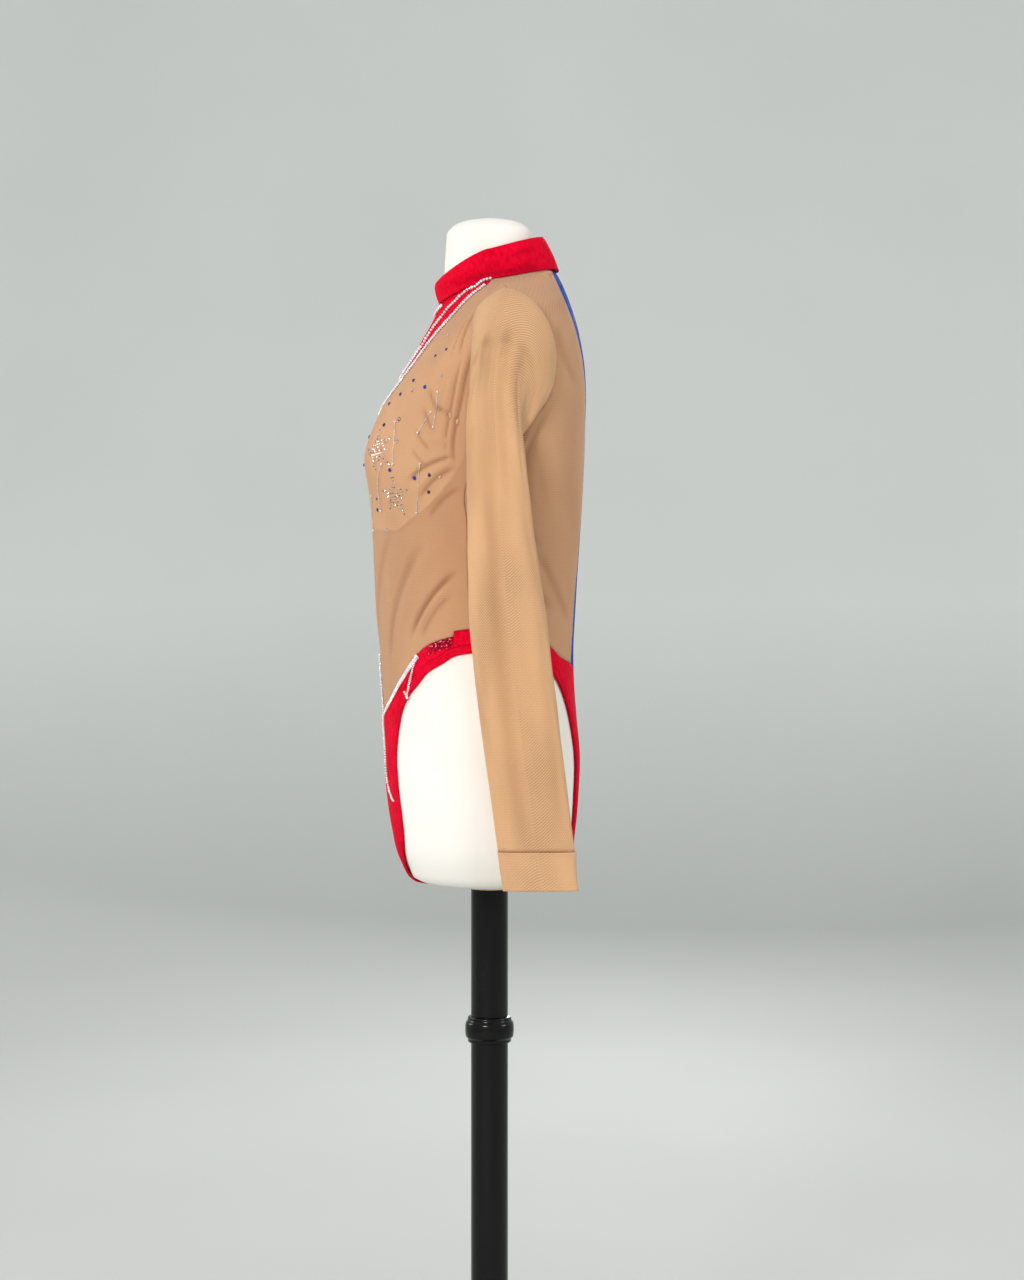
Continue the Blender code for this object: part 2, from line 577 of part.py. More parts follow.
# Leg openings
def leg_loop(side):
    """Edge of one leg opening: places on the body, then points below the form."""
    sign = 1 if side == "left" else -1
    front = LEG_FRONT_LEFT if side == "left" else LEG_FRONT_RIGHT
    rear = LEG_BACK_LEFT if side == "left" else LEG_BACK_RIGHT
    chain = smooth_chain([rear[::-1], LEG_SIDE_TO_HIP, LEG_HIP_TO_ZIGZAG, front])
    lines = {"back": chain[0][::-1], "side_hip": chain[1], "hip_zigzag": chain[2],
             "front": chain[3]}
    if sign < 0:
        lines = {key: mirror(line) for key, line in lines.items()}
    places = lines["side_hip"][:-1] + lines["hip_zigzag"][:-1] + lines["front"]
    points = [body(*p) for p in places]
    normals = [body_normal(*p) for p in places]
    rows = [dict(zip(STRAP_COLUMNS, row)) for row in STRAP]
    ends = [{"y": ring(LOW_LEVEL)["front_y"], "z": LOW_LEVEL}] + rows
    ends.append({"y": ring(LOW_LEVEL)["back_y"], "z": LOW_LEVEL})
    for i, row in enumerate(rows):
        points.append(Vector((row["x"] + sign * row["width"] / 2, row["y"], row["z"])))
        before, after = ends[i], ends[i + 2]
        rise = (after["z"] - before["z"]) / (after["y"] - before["y"])
        normals.append(Vector((0, rise, -1)).normalized())
    first_back = len(points)
    rear_places = back(lines["back"])
    points += [body(*p) for p in rear_places[:-1]]
    normals += [body_normal(*p) for p in rear_places[:-1]]
    moves = in_surface(points, normals, inward=-sign)
    return {
        "sign": sign, "lines": lines, "places": places, "rear": rear_places, "points": points,
        "normals": normals, "moves": moves, "below": len(places), "rows": len(rows),
        "first_back": first_back,
    }


def shifted_place(place, move, distance):
    """Place on the body reached from another by a short move in its surface."""
    e = 1e-4
    here = body(*place)
    along = (body(place[0] + e, place[1]) - here) / e
    step = -e if place[1] + e > NECK_LEVEL or place[1] > LOW_LEVEL + e else e
    up = (body(place[0], place[1] + step) - here) / step
    want = move * distance
    aa, ab, bb = along.dot(along), along.dot(up), up.dot(up)
    wa, wb = want.dot(along), want.dot(up)
    d = aa * bb - ab * ab
    return (place[0] + (wa * bb - wb * ab) / d, place[1] + (wb * aa - wa * ab) / d)


def band_lines(loop):
    """Inner side of the binding: where the briefs end."""
    moved = [shifted_place(p, m, BAND_WIDE) for p, m in zip(loop["places"], loop["moves"])]
    a = len(loop["lines"]["side_hip"]) - 1
    b = a + len(loop["lines"]["hip_zigzag"]) - 1
    rear_moves = loop["moves"][loop["first_back"]:] + loop["moves"][:1]
    rear = [shifted_place(p, m, BAND_WIDE) for p, m in zip(loop["rear"], rear_moves)]
    rear[-1] = moved[0]
    return {"side_hip": moved[:a + 1], "hip_zigzag": moved[a:b + 1], "front": moved[b:],
            "back": rear}


LEG = {side: leg_loop(side) for side in ("left", "right")}
BAND = {side: band_lines(LEG[side]) for side in ("left", "right")}

# Lines that two pieces share
shoulder = smooth_line(SHOULDER)
yoke_edge = smooth_line(YOKE_EDGE, 0.013)
centre_front = smooth_line(CENTRE_FRONT)
side_seam = smooth_line(SIDE_SEAM)
blue_edge = smooth_line(BLUE_EDGE)
hip_step = smooth_line(HIP_STEP)
brief_top_side = smooth_line(BRIEF_TOP_SIDE)
brief_top_back = smooth_line(BRIEF_TOP_BACK)
brief_top_point = smooth_line(BRIEF_TOP_POINT)
hip_top = smooth_line(HIP_TOP, 0.012)
zigzag_up = smooth_line(ZIGZAG_UP, 0.012)
zigzag_peak = smooth_line(ZIGZAG_PEAK, 0.012)
centre_back = smooth_line(CENTRE_BACK)
neck_front = level_line(-84.0, 84.0, NECK_LEVEL, 0.014)
neck_side = level_line(84.0, 158.0, NECK_LEVEL, 0.014)
neck_back = level_line(158.0, 202.0, NECK_LEVEL, 0.014)


def straight(start, end, count):
    return [(start[0] + (end[0] - start[0]) * i / count, start[1] + (end[1] - start[1]) * i / count)
            for i in range(count + 1)]


def armhole_places():
    """Points of the armhole, shoulder first, down the front, up the back."""
    rows = list(ARMHOLE)
    cycle = ([(p - 360, a, l) for p, a, l in rows[-3:]] + rows
             + [(p + 360, a, l) for p, a, l in rows[:3]])
    phases = [row[0] for row in cycle]
    places = []
    for i in range(AROUND_SLEEVE):
        phase = 360.0 * i / AROUND_SLEEVE
        places.append((math.radians(hermite(phases, [row[1] for row in cycle], phase)),
                       hermite(phases, [row[2] for row in cycle], phase)))
    places[0] = (math.radians(SHOULDER[-1][0]), SHOULDER[-1][1])
    places[AROUND_SLEEVE // 2] = (math.radians(SIDE_SEAM[0][0]), SIDE_SEAM[0][1])
    return places


armhole = armhole_places()
armhole_front = armhole[:AROUND_SLEEVE // 2 + 1]
armhole_back = armhole[AROUND_SLEEVE // 2:] + armhole[:1]

hip_line = {}
step_line = {}
for side in ("left", "right"):
    sign = LEG[side]["sign"]
    peak = (sign * zigzag_up[-1][0], zigzag_up[-1][1])
    hip_line[side] = straight(peak, BAND[side]["front"][0], 3)
    corner = (sign * hip_top[-1][0], hip_top[-1][1])
    step_line[side] = straight(corner, BAND[side]["hip_zigzag"][0], 1)
front_low = straight(BAND["left"]["front"][-1], BAND["right"]["front"][-1], 4)
rear_right_low = BAND["right"]["back"][0]
rear_right_low = (rear_right_low[0] + 2 * math.pi, rear_right_low[1])
back_low_left = straight(BAND["left"]["back"][0], centre_back[-1], 2)
back_low_right = straight(centre_back[-1], rear_right_low, 2)


def sided(line, side):
    return line if side == "left" else mirror(line)


# Cut pieces
FULL_TURN = 2 * math.pi


def wrapped(line):
    """The same line on the wearer's right, reached by going on past centre back."""
    return [(FULL_TURN - a, level) for a, level in line]


cut_piece("yoke_front", joined(neck_front, yoke_edge, back(mirror(yoke_edge))))
cut_piece("back_center", joined(
    neck_back, wrapped(blue_edge), wrapped(brief_top_point), back(brief_top_point), back(blue_edge)))
for side in ("left", "right"):
    cut_piece("front_panel_" + side, joined(
        sided(shoulder, side), sided(armhole_front, side), sided(side_seam, side),
        sided(back(brief_top_side), side), sided(back(hip_step), side), sided(back(hip_top), side),
        sided(back(zigzag_up), side), sided(back(zigzag_peak), side), sided(back(centre_front), side),
        sided(back(yoke_edge), side)),
        "cup_lining_" + side, sided(smooth_line(LINING + LINING[:1], NET)[:-1], side))
    cut_piece("back_panel_" + side, joined(
        sided(shoulder, side), sided(back(armhole_back), side), sided(side_seam, side),
        sided(brief_top_back, side), sided(back(blue_edge), side), sided(back(neck_side), side)))
    cut_piece("hip_band_" + side, joined(
        sided(hip_top, side), step_line[side], BAND[side]["hip_zigzag"], back(hip_line[side])))

cut_piece("brief_center", joined(
    zigzag_peak, zigzag_up, hip_line["left"], BAND["left"]["front"], front_low,
    back(BAND["right"]["front"]), back(hip_line["right"]), back(mirror(zigzag_up)),
    back(mirror(zigzag_peak))))
cut_piece("brief_back_left", joined(
    hip_step, brief_top_side, brief_top_back, brief_top_point, centre_back,
    back(back_low_left), BAND["left"]["back"], BAND["left"]["side_hip"], back(step_line["left"])))
right_edges = [BAND["right"]["back"], BAND["right"]["side_hip"], back(step_line["right"])]
cut_piece("brief_back_right", joined(
    wrapped(hip_step), wrapped(brief_top_side), wrapped(brief_top_back), wrapped(brief_top_point),
    centre_back, back_low_right, *[[(a + FULL_TURN, level) for a, level in line] for line in right_edges]))


# Strap
def strap():
    """The crotch strap: a net from the front briefs to the back briefs below the form."""
    columns = 4
    left, right = LEG["left"], LEG["right"]
    rows = [[body(*p) for p in front_low]]
    normals = [[body_normal(*p) for p in front_low]]
    for i in range(left["rows"]):
        k = left["below"] + i
        a = left["points"][k] + left["moves"][k] * BAND_WIDE
        b = right["points"][k] + right["moves"][k] * BAND_WIDE
        rows.append([a.lerp(b, j / columns) for j in range(columns + 1)])
        normals.append([left["normals"][k]] * (columns + 1))
    low = back_low_left + back_low_right[1:]
    rows.append([body(*p) for p in low])
    normals.append([body_normal(*p) for p in low])
    half = SEAM_GAP / 2
    last = len(rows) - 1
    moved = [[p.copy() for p in row] for row in rows]
    for j in range(columns + 1):
        moved[0][j] += (rows[1][j] - rows[0][j]).normalized() * half
        moved[last][j] += (rows[last - 1][j] - rows[last][j]).normalized() * half
    for i in range(last + 1):
        moved[i][0] += (rows[i][1] - rows[i][0]).normalized() * half
        moved[i][columns] += (rows[i][columns - 1] - rows[i][columns]).normalized() * half
    wide = columns + 1
    outer = [p for row in moved for p in row]
    under = [p - n * WALL for row, line in zip(moved, normals) for p, n in zip(row, line)]
    total = len(outer)
    faces = []
    for i in range(last):
        for j in range(columns):
            a, b = i * wide + j, i * wide + j + 1
            c, d = a + wide, b + wide
            faces += [(a, b, c), (b, d, c), (a + total, c + total, b + total),
                      (b + total, c + total, d + total)]
    rim = ([j for j in range(wide)] + [i * wide + columns for i in range(1, last + 1)]
           + [last * wide + j for j in range(columns - 1, -1, -1)]
           + [i * wide for i in range(last - 1, 0, -1)])
    for i, a in enumerate(rim):
        b = rim[(i + 1) % len(rim)]
        faces += [(b, a, a + total), (b, a + total, b + total)]
    turned_out(add_solid("gusset", outer + under, faces))


strap()

# Leg bindings: the section of the roll, across the band and out from the body.
BAND_SECTION = ((-0.00435, -0.0012), (-0.00435, 0.0002), (-0.0026, 0.0010), (0.0026, 0.0010),
                (0.00435, 0.0002), (0.00435, -0.0012))
for side in ("left", "right"):
    loop = LEG[side]
    directions = [m.normalized() for m in loop["moves"]]
    centres = [p + d * (BAND_WIDE / 2) for p, d in zip(loop["points"], directions)]
    swept("leg_band_" + side, centres, directions, loop["normals"], BAND_SECTION)


# Sleeves
def sleeve_ring(row, phase):
    """Point of a hanging sleeve ring at a phase, shoulder side first."""
    size = dict(zip(SLEEVE_COLUMNS, row))
    c, s = math.cos(phase), math.sin(phase)
    power = 2.0 / SLEEVE_ROUND
    out = 0.5 + 0.5 * math.copysign(abs(c) ** power, c)
    swing = math.copysign(abs(s) ** power, s)
    middle = 0.5 * (size["front_y"] + size["back_y"])
    y = middle - swing * 0.5 * (size["back_y"] - size["front_y"])
    x = size["inner_x"] + (size["outer_x"] - size["inner_x"]) * out
    z = size["inner_z"] + (size["outer_z"] - size["inner_z"]) * out
    if c > 0:
        x -= size["valley"] * math.exp(-((y - middle) / VALLEY_WIDE) ** 2)
    return Vector((x, y, z))


def sleeve(name, rows, sign, start=None, wall=WALL):
    rings = []
    phases = [2 * math.pi * i / AROUND_SLEEVE for i in range(AROUND_SLEEVE)]
    if start:
        rings.append(start)
    for row in rows:
        free = row[SLEEVE_COLUMNS.index("free")]
        line = [sleeve_ring(row, phase) for phase in phases]
        if start and free < 1:
            shift = row[0] - SHOULDER_X
            low_back = [(math.degrees(phase) - LOW_BACK_PHASE) / LOW_BACK_WIDE for phase in phases]
            reach = [shift * (1.0 - LOW_BACK_HELD * math.exp(-near * near)) for near in low_back]
            line = [(edge + Vector((out, 0, 0))).lerp(p, free)
                    for edge, out, p in zip(start, reach, line)]
        rings.append(line)
    outer, inner = [], []
    for r, line in enumerate(rings):
        outer_line, inner_line = [], []
        for i, p in enumerate(line):
            around = line[(i + 1) % AROUND_SLEEVE] - line[i - 1]
            along = rings[min(r + 1, len(rings) - 1)][i] - rings[max(r - 1, 0)][i]
            normal = along.cross(around).normalized()
            outer_line.append(Vector((sign * p.x, p.y, p.z)))
            q = p - normal * wall
            inner_line.append(Vector((sign * q.x, q.y, q.z)))
        outer.append(outer_line)
        inner.append(inner_line)
    tube(name, outer, inner)


armhole_points = [body(*p) for p in armhole]
armhole_normals = [body_normal(*p) for p in armhole]
into_sleeve = in_surface(armhole_points, armhole_normals, inward=-1.0)
SHOULDER_X = armhole_points[0].x
middle_point = sum(armhole_points, Vector()) / AROUND_SLEEVE
sleeve_start = []
for p, move in zip(armhole_points, into_sleeve):
    if move.dot(middle_point - p) < 0:
        move = -move
    sleeve_start.append(p + move * (SEAM_GAP / 2))
for side, sign in (("left", 1), ("right", -1)):
    sleeve("sleeve_" + side, SLEEVE, sign, sleeve_start)
    sleeve("cuff_" + side, CUFF, sign)


# Collar
def collar():
    """Standing collar: one strip whose two ends lap at centre back."""
    reach = 180.0 + COLLAR_LAP_DEG
    count = 40
    heights = (0.0, 0.5, 1.0)
    outer, inner = [], []
    for i in range(count + 1):
        turn = -reach + 2 * reach * i / count
        angle = math.radians(turn)
        lift = min(1.0, max(0.0, (turn - 135.0) / 35.0))
        lift = lift * lift * (3 - 2 * lift) * COLLAR_LAP_STEP
        low = body(angle, NECK_LEVEL)
        s, c = math.sin(angle), math.cos(angle)
        end_y = COLLAR_TOP_FRONT_Y if c >= 0 else COLLAR_TOP_BACK_Y
        end_z = COLLAR_TOP_FRONT_Z if c >= 0 else COLLAR_TOP_BACK_Z
        high = Vector((COLLAR_TOP_SIDE_X * s, COLLAR_TOP_SIDE_Y + (end_y - COLLAR_TOP_SIDE_Y) * abs(c),
                       COLLAR_TOP_SIDE_Z + (end_z - COLLAR_TOP_SIDE_Z) * abs(c) ** 1.2))
        out = Vector((s, -c, 0))
        rise = (high - low).normalized()
        flat = (out - rise * out.dot(rise)).normalized()
        low = low + rise * SEAM_GAP
        for h in heights:
            p = low.lerp(high, h) + flat * (lift + 0.0008 * math.sin(math.pi * h))
            outer.append(p)
            inner.append(p - flat * COLLAR_WALL)
    tall = len(heights)
    total = len(outer)
    faces = []
    for i in range(count):
        for h in range(tall - 1):
            a, b = i * tall + h, i * tall + h + 1
            c, d = a + tall, b + tall
            faces += [(a, c, b), (b, c, d), (a + total, b + total, c + total),
                      (b + total, d + total, c + total)]
        a, c = i * tall, (i + 1) * tall
        faces += [(a, a + total, c), (c, a + total, c + total)]
        a, c = i * tall + tall - 1, (i + 1) * tall + tall - 1
        faces += [(a, c, a + total), (c, c + total, a + total)]
    for h in range(tall - 1):
        a, b = h, h + 1
        faces += [(a, b, a + total), (b, b + total, a + total)]
        a, b = count * tall + h, count * tall + h + 1
        faces += [(a, a + total, b), (b, a + total, b + total)]
    turned_out(add_solid("collar", outer + inner, faces))


collar()


# Dress form and stand
def form():
    """Smooth limbless form the garment sits on, a little smaller all over."""
    rings = []
    angles = [2 * math.pi * i / FORM_COLUMNS_AROUND for i in range(FORM_COLUMNS_AROUND)]

    def below(angle, level):
        p = body(angle, level)
        across, up = (abs(p.x) - BUST_X) / 0.085, (p.z - BUST_Z) / 0.085
        slack = BUST_SLACK * math.exp(-across * across - up * up) if p.y < 0 else 0.0
        clear = hermite([row[0] for row in FORM_CLEAR], [row[1] for row in FORM_CLEAR], level)
        return p - body_normal(angle, level) * (clear + slack)

    low_ring = [below(a, LOW_LEVEL) for a in angles]
    for scale, z in FORM_FLOOR[::-1]:
        rings.append([Vector((p.x * scale, p.y * scale, z)) for p in low_ring])
    for level in FORM_LEVELS[::-1]:
        rings.append([below(a, level) for a in angles])
    for radius, front_z, side_z, back_z in NECK:
        line = []
        for a in angles:
            c = math.cos(a)
            end = front_z if c >= 0 else back_z
            line.append(Vector((radius * math.sin(a), -radius * c,
                                side_z + (end - side_z) * abs(c) ** 1.2)))
        rings.append(line)
    stacked("dress_form", rings, Vector((0, 0, FORM_FLOOR_Z)), Vector((0, 0, NECK_TOP_Z)))


form()
turned_round("form_base_plate", ((PLATE_RADIUS, PLATE_TOP), (PLATE_RADIUS, PLATE_LOW)))
turned_round("pole_upper", ((POLE_RADIUS, POLE_TOP), (POLE_RADIUS, RING_PROFILE[0][1] + SEAM_GAP)))
turned_round("pole_ring", RING_PROFILE)
turned_round("pole_lower", ((POLE_RADIUS, RING_PROFILE[-1][1] - SEAM_GAP),
                            (POLE_RADIUS, BASE_TOP + SEAM_GAP)))
turned_round("stand_base", BASE_PROFILE)
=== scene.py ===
"""Looks of a long-sleeved stage leotard on a limbless dress form with a pole stand.

Every piece of cloth is a thin shell on the same body surface that its solid
has.  A place on that surface is given by the angle around the body (0 at
centre front, 90 at the wearer's left side, 180 at centre back) and by a
level, the height of that ring at centre front.  Folds, seams, beads, stones
and stitches are laid on it.  Metres, +Z up, the garment faces -Y.
"""
import math

import bpy
import numpy as np
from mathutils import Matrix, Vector
from mathutils.geometry import delaunay_2d_cdt


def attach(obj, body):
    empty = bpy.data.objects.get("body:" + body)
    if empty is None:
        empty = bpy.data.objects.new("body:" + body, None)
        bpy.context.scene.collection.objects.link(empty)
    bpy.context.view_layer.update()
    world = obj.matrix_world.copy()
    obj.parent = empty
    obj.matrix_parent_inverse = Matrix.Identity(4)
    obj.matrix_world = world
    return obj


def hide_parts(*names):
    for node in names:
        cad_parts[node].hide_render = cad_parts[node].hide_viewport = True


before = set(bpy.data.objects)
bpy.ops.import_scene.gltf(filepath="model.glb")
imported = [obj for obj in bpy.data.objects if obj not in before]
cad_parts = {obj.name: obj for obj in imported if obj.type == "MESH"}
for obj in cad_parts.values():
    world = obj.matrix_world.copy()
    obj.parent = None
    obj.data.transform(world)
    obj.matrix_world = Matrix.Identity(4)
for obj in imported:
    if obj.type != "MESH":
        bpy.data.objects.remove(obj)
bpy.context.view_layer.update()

# Sizes
CLOTH = 0.0009           # thickness of a shell
FOLD_DARKEST = 0.0016    # a trough of this depth has the full shade
SEAM_HALF = 0.00015      # each piece stops this far from its seam line
NET = 0.0042             # spacing of the points inside a piece
STEP = 0.0036            # spacing of the points along a seam
BAND_WIDE = 0.0090       # rolled binding of a leg opening
NECK_LEVEL, LOW_LEVEL = 1.362, 0.752
AROUND_TO_LENGTH = 0.120
FULL_TURN = 2 * math.pi

# The body, one row per ring, as in the solids
BODY_COLUMNS = ("level", "front_y", "side_x", "side_y", "side_z", "back_y", "back_z",
                "front_square", "back_square")
BODY = (
    (1.362, -0.0525, 0.0620, 0.008, 1.3810, 0.0720, 1.3970, 1.90, 2.00),
    (1.340, -0.0632, 0.0900, 0.012, 1.3745, 0.0795, 1.3810, 1.65, 2.10),
    (1.321, -0.0740, 0.1150, 0.015, 1.3675, 0.0870, 1.3615, 1.55, 2.15),
    (1.302, -0.0837, 0.1360, 0.017, 1.3600, 0.0945, 1.3370, 1.55, 2.20),
    (1.283, -0.0940, 0.1500, 0.018, 1.3500, 0.0990, 1.3155, 1.60, 2.25),
    (1.265, -0.1045, 0.1580, 0.018, 1.3350, 0.1025, 1.2920, 1.70, 2.30),
    (1.248, -0.1155, 0.1610, 0.016, 1.3120, 0.1037, 1.2700, 1.85, 2.35),
    (1.232, -0.1230, 0.1590, 0.012, 1.2820, 0.1037, 1.2500, 1.95, 2.40),
    (1.215, -0.1285, 0.1530, 0.006, 1.2450, 0.1030, 1.2300, 2.05, 2.40),
    (1.197, -0.1315, 0.1470, 0.000, 1.2100, 0.1025, 1.2050, 2.20, 2.40),
    (1.178, -0.1312, 0.1430, -0.006, 1.1820, 0.1015, 1.1800, 2.25, 2.40),
    (1.150, -0.1285, 0.1370, -0.010, 1.1500, 0.1000, 1.1500, 2.20, 2.35),
    (1.110, -0.1258, 0.1280, -0.012, 1.1100, 0.0975, 1.1100, 2.15, 2.30),
    (1.065, -0.1238, 0.1225, -0.013, 1.0650, 0.0945, 1.0650, 2.10, 2.30),
    (1.030, -0.1220, 0.1265, -0.013, 1.0300, 0.0925, 1.0300, 2.05, 2.25),
    (0.990, -0.1180, 0.1390, -0.012, 0.9900, 0.0905, 0.9900, 2.00, 2.20),
    (0.955, -0.1157, 0.1510, -0.011, 0.9550, 0.0912, 0.9550, 1.95, 2.20),
    (0.920, -0.1137, 0.1580, -0.010, 0.9200, 0.0937, 0.9200, 1.90, 2.20),
    (0.875, -0.1134, 0.1610, -0.008, 0.8750, 0.0975, 0.8750, 1.90, 2.20),
    (0.835, -0.1107, 0.1590, -0.007, 0.8350, 0.0960, 0.8350, 1.90, 2.20),
    (0.800, -0.1055, 0.1530, -0.006, 0.8000, 0.0930, 0.8000, 1.90, 2.20),
    (0.770, -0.0985, 0.1440, -0.005, 0.7700, 0.0875, 0.7700, 1.95, 2.20),
    (0.752, -0.0900, 0.1340, -0.004, 0.7520, 0.0790, 0.7520, 2.00, 2.20),
)
SIDE_HEIGHT_POWER = 1.25
BUST_X, BUST_Z = 0.080, 1.192
BUST_RISE, BUST_WIDE, BUST_TALL = 0.010, 0.040, 0.040

# Seams, as (degrees around, level)
SHOULDER = ((84.0, 1.3620), (89.0, 1.3300), (92.6, 1.2952))
YOKE_EDGE = ((84.0, 1.3620), (77.0, 1.3483), (66.0, 1.3411), (58.5, 1.3350), (48.0, 1.3200),
             (35.5, 1.3020), (28.5, 1.2845), (19.5, 1.2665), (9.0, 1.2540), (0.0, 1.2430))
CENTRE_FRONT = ((0.0, 1.2430), (0.0, 0.9840))
SIDE_SEAM = ((94.9, 1.1930), (88.5, 1.1730), (85.0, 1.1530), (85.9, 1.1230), (86.4, 1.0820),
             (86.8, 1.0410), (87.0, 1.0113))
BLUE_EDGE = ((158.0, 1.3620), (152.5, 1.3340), (153.0, 1.3120), (157.0, 1.2940), (162.0, 1.2750),
             (168.5, 1.2480), (173.5, 1.2150), (175.5, 1.1700), (175.5, 1.1200), (173.0, 1.0800),
             (169.5, 1.0450), (168.0, 1.0000), (165.0, 0.9750))
HIP_STEP = ((77.3, 1.0035), (78.1, 1.0092))
BRIEF_TOP_SIDE = ((78.1, 1.0092), (82.5, 1.0104), (87.0, 1.0113))
BRIEF_TOP_BACK = ((87.0, 1.0113), (110.0, 1.0070), (134.8, 0.9953), (146.0, 0.9833), (165.0, 0.9750))
BRIEF_TOP_POINT = ((165.0, 0.9750), (180.0, 0.9620))
HIP_TOP = ((53.6, 0.9850), (60.7, 0.9938), (69.4, 1.0000), (77.3, 1.0035))
ZIGZAG_UP = ((10.3, 0.9205), (27.1, 0.9391), (38.9, 0.9584), (53.6, 0.9850))
ZIGZAG_PEAK = ((0.0, 0.9840), (7.0, 0.9500), (10.3, 0.9205))
CENTRE_BACK = ((180.0, 0.9620), (180.0, 0.8800), (180.4, 0.8300), (182.0, 0.7900), (185.0, 0.7520))
LEG_SIDE_TO_HIP = ((98.0, 0.9880), (88.0, 0.9867), (76.7, 0.9827))
LEG_HIP_TO_ZIGZAG = ((76.7, 0.9827), (69.9, 0.9755), (61.0, 0.9672), (52.6, 0.9532), (43.8, 0.9390))
LEG_FRONT = {
    "left": ((43.8, 0.9390), (37.9, 0.9244), (33.5, 0.9030), (31.2, 0.8788), (31.4, 0.8432),
             (31.6, 0.8150), (29.5, 0.7900), (24.5, 0.7700), (17.4, 0.7520)),
    "right": ((43.8, 0.9390), (37.9, 0.9244), (33.5, 0.9030), (32.0, 0.8788), (31.3, 0.8432),
              (30.3, 0.8072), (29.0, 0.7826), (28.0, 0.7660), (27.5, 0.7520)),
}
LEG_BACK = {
    "left": ((98.0, 0.9880), (118.0, 0.9815), (137.2, 0.9669), (144.9, 0.9527), (152.0, 0.9334),
             (156.3, 0.9139), (159.0, 0.8900), (160.2, 0.8662), (161.5, 0.8301), (163.6, 0.7935),
             (165.8, 0.7700), (167.8, 0.7520)),
    "right": ((98.0, 0.9880), (118.0, 0.9815), (137.2, 0.9669), (144.9, 0.9527), (152.0, 0.9334),
              (156.3, 0.9139), (159.0, 0.8900), (160.2, 0.8662), (160.9, 0.8301), (160.6, 0.7935),
              (158.8, 0.7700), (156.6, 0.7520)),
}
STRAP_COLUMNS = ("x", "y", "z", "width")
STRAP = (
    (-0.0370, -0.0785, 0.7388, 0.058),
    (-0.0445, -0.0630, 0.7358, 0.057),
    (-0.0505, -0.0440, 0.7345, 0.061),
    (-0.0560, -0.0220, 0.7335, 0.058),
    (-0.0565, 0.0050, 0.7335, 0.057),
    (-0.0550, 0.0290, 0.7336, 0.058),
    (-0.0430, 0.0490, 0.7345, 0.066),
    (-0.0260, 0.0660, 0.7390, 0.080),
)
ARMHOLE = (
    (0, 92.6, 1.2952), (30, 79.0, 1.3035), (60, 69.5, 1.2985), (85, 68.5, 1.2800),
    (110, 72.0, 1.2600), (135, 79.0, 1.2375), (158, 87.0, 1.2130), (180, 94.9, 1.1930),
    (205, 103.5, 1.1985), (230, 111.5, 1.2095), (255, 118.5, 1.2185), (280, 123.0, 1.2320),
    (300, 123.5, 1.2470), (322, 118.0, 1.2665), (342, 106.5, 1.2840),
)
SLEEVE_COLUMNS = ("outer_x", "outer_z", "inner_x", "inner_z", "front_y", "back_y", "free", "valley")
SLEEVE = (
    (0.1520, 1.3530, 0.1500, 1.2060, -0.0135, 0.0660, 0.15, 0.0000),
    (0.1640, 1.3450, 0.1530, 1.2065, -0.0150, 0.0620, 0.40, 0.0000),
    (0.1760, 1.3320, 0.1550, 1.2045, -0.0165, 0.0560, 0.65, 0.0000),
    (0.1840, 1.3140, 0.1560, 1.2000, -0.0172, 0.0490, 0.85, 0.0000),
    (0.1835, 1.2980, 0.1560, 1.1940, -0.0176, 0.0420, 1.00, 0.0010),
    (0.1890, 1.2780, 0.1560, 1.1850, -0.0185, 0.0355, 1.00, 0.0030),
    (0.1910, 1.2450, 0.1555, 1.1730, -0.0213, 0.0335, 1.00, 0.0040),
    (0.1920, 1.2050, 0.1550, 1.1550, -0.0206, 0.0370, 1.00, 0.0040),
    (0.1930, 1.1600, 0.1540, 1.1300, -0.0201, 0.0413, 1.00, 0.0035),
    (0.1940, 1.1130, 0.1540, 1.0980, -0.0192, 0.0460, 1.00, 0.0030),
    (0.1940, 1.0650, 0.1560, 1.0600, -0.0186, 0.0525, 1.00, 0.0030),
    (0.1930, 1.0190, 0.1590, 1.0180, -0.0175, 0.0585, 1.00, 0.0030),
    (0.1920, 0.9740, 0.1620, 0.9740, -0.0136, 0.0632, 1.00, 0.0030),
    (0.1910, 0.9290, 0.1650, 0.9290, -0.0085, 0.0688, 1.00, 0.0025),
    (0.1900, 0.8840, 0.1670, 0.8840, -0.0026, 0.0742, 1.00, 0.0020),
    (0.1890, 0.8380, 0.1690, 0.8380, 0.0045, 0.0804, 1.00, 0.0015),
    (0.1880, 0.7880, 0.1710, 0.7880, 0.0111, 0.0868, 1.00, 0.0010),
)
CUFF = (
    (0.1884, 0.7877, 0.1706, 0.7877, 0.0107, 0.0872, 1.00, 0.0010),
    (0.1886, 0.7690, 0.1706, 0.7690, 0.0135, 0.0880, 1.00, 0.0006),
    (0.1886, 0.7485, 0.1708, 0.7485, 0.0170, 0.0898, 1.00, 0.0004),
)
VALLEY_WIDE = 0.009
SLEEVE_ROUND = 2.3
LOW_BACK_PHASE, LOW_BACK_WIDE, LOW_BACK_HELD = 225.0, 48.0, 0.55
AROUND_SLEEVE = 104

COLLAR_TOP_FRONT_Y, COLLAR_TOP_BACK_Y = -0.0580, 0.0560
COLLAR_TOP_SIDE_X, COLLAR_TOP_SIDE_Y = 0.0570, -0.0010
COLLAR_TOP_FRONT_Z, COLLAR_TOP_SIDE_Z, COLLAR_TOP_BACK_Z = 1.3825, 1.4125, 1.4320
COLLAR_LAP_DEG, COLLAR_LAP_STEP = 10.0, 0.0021

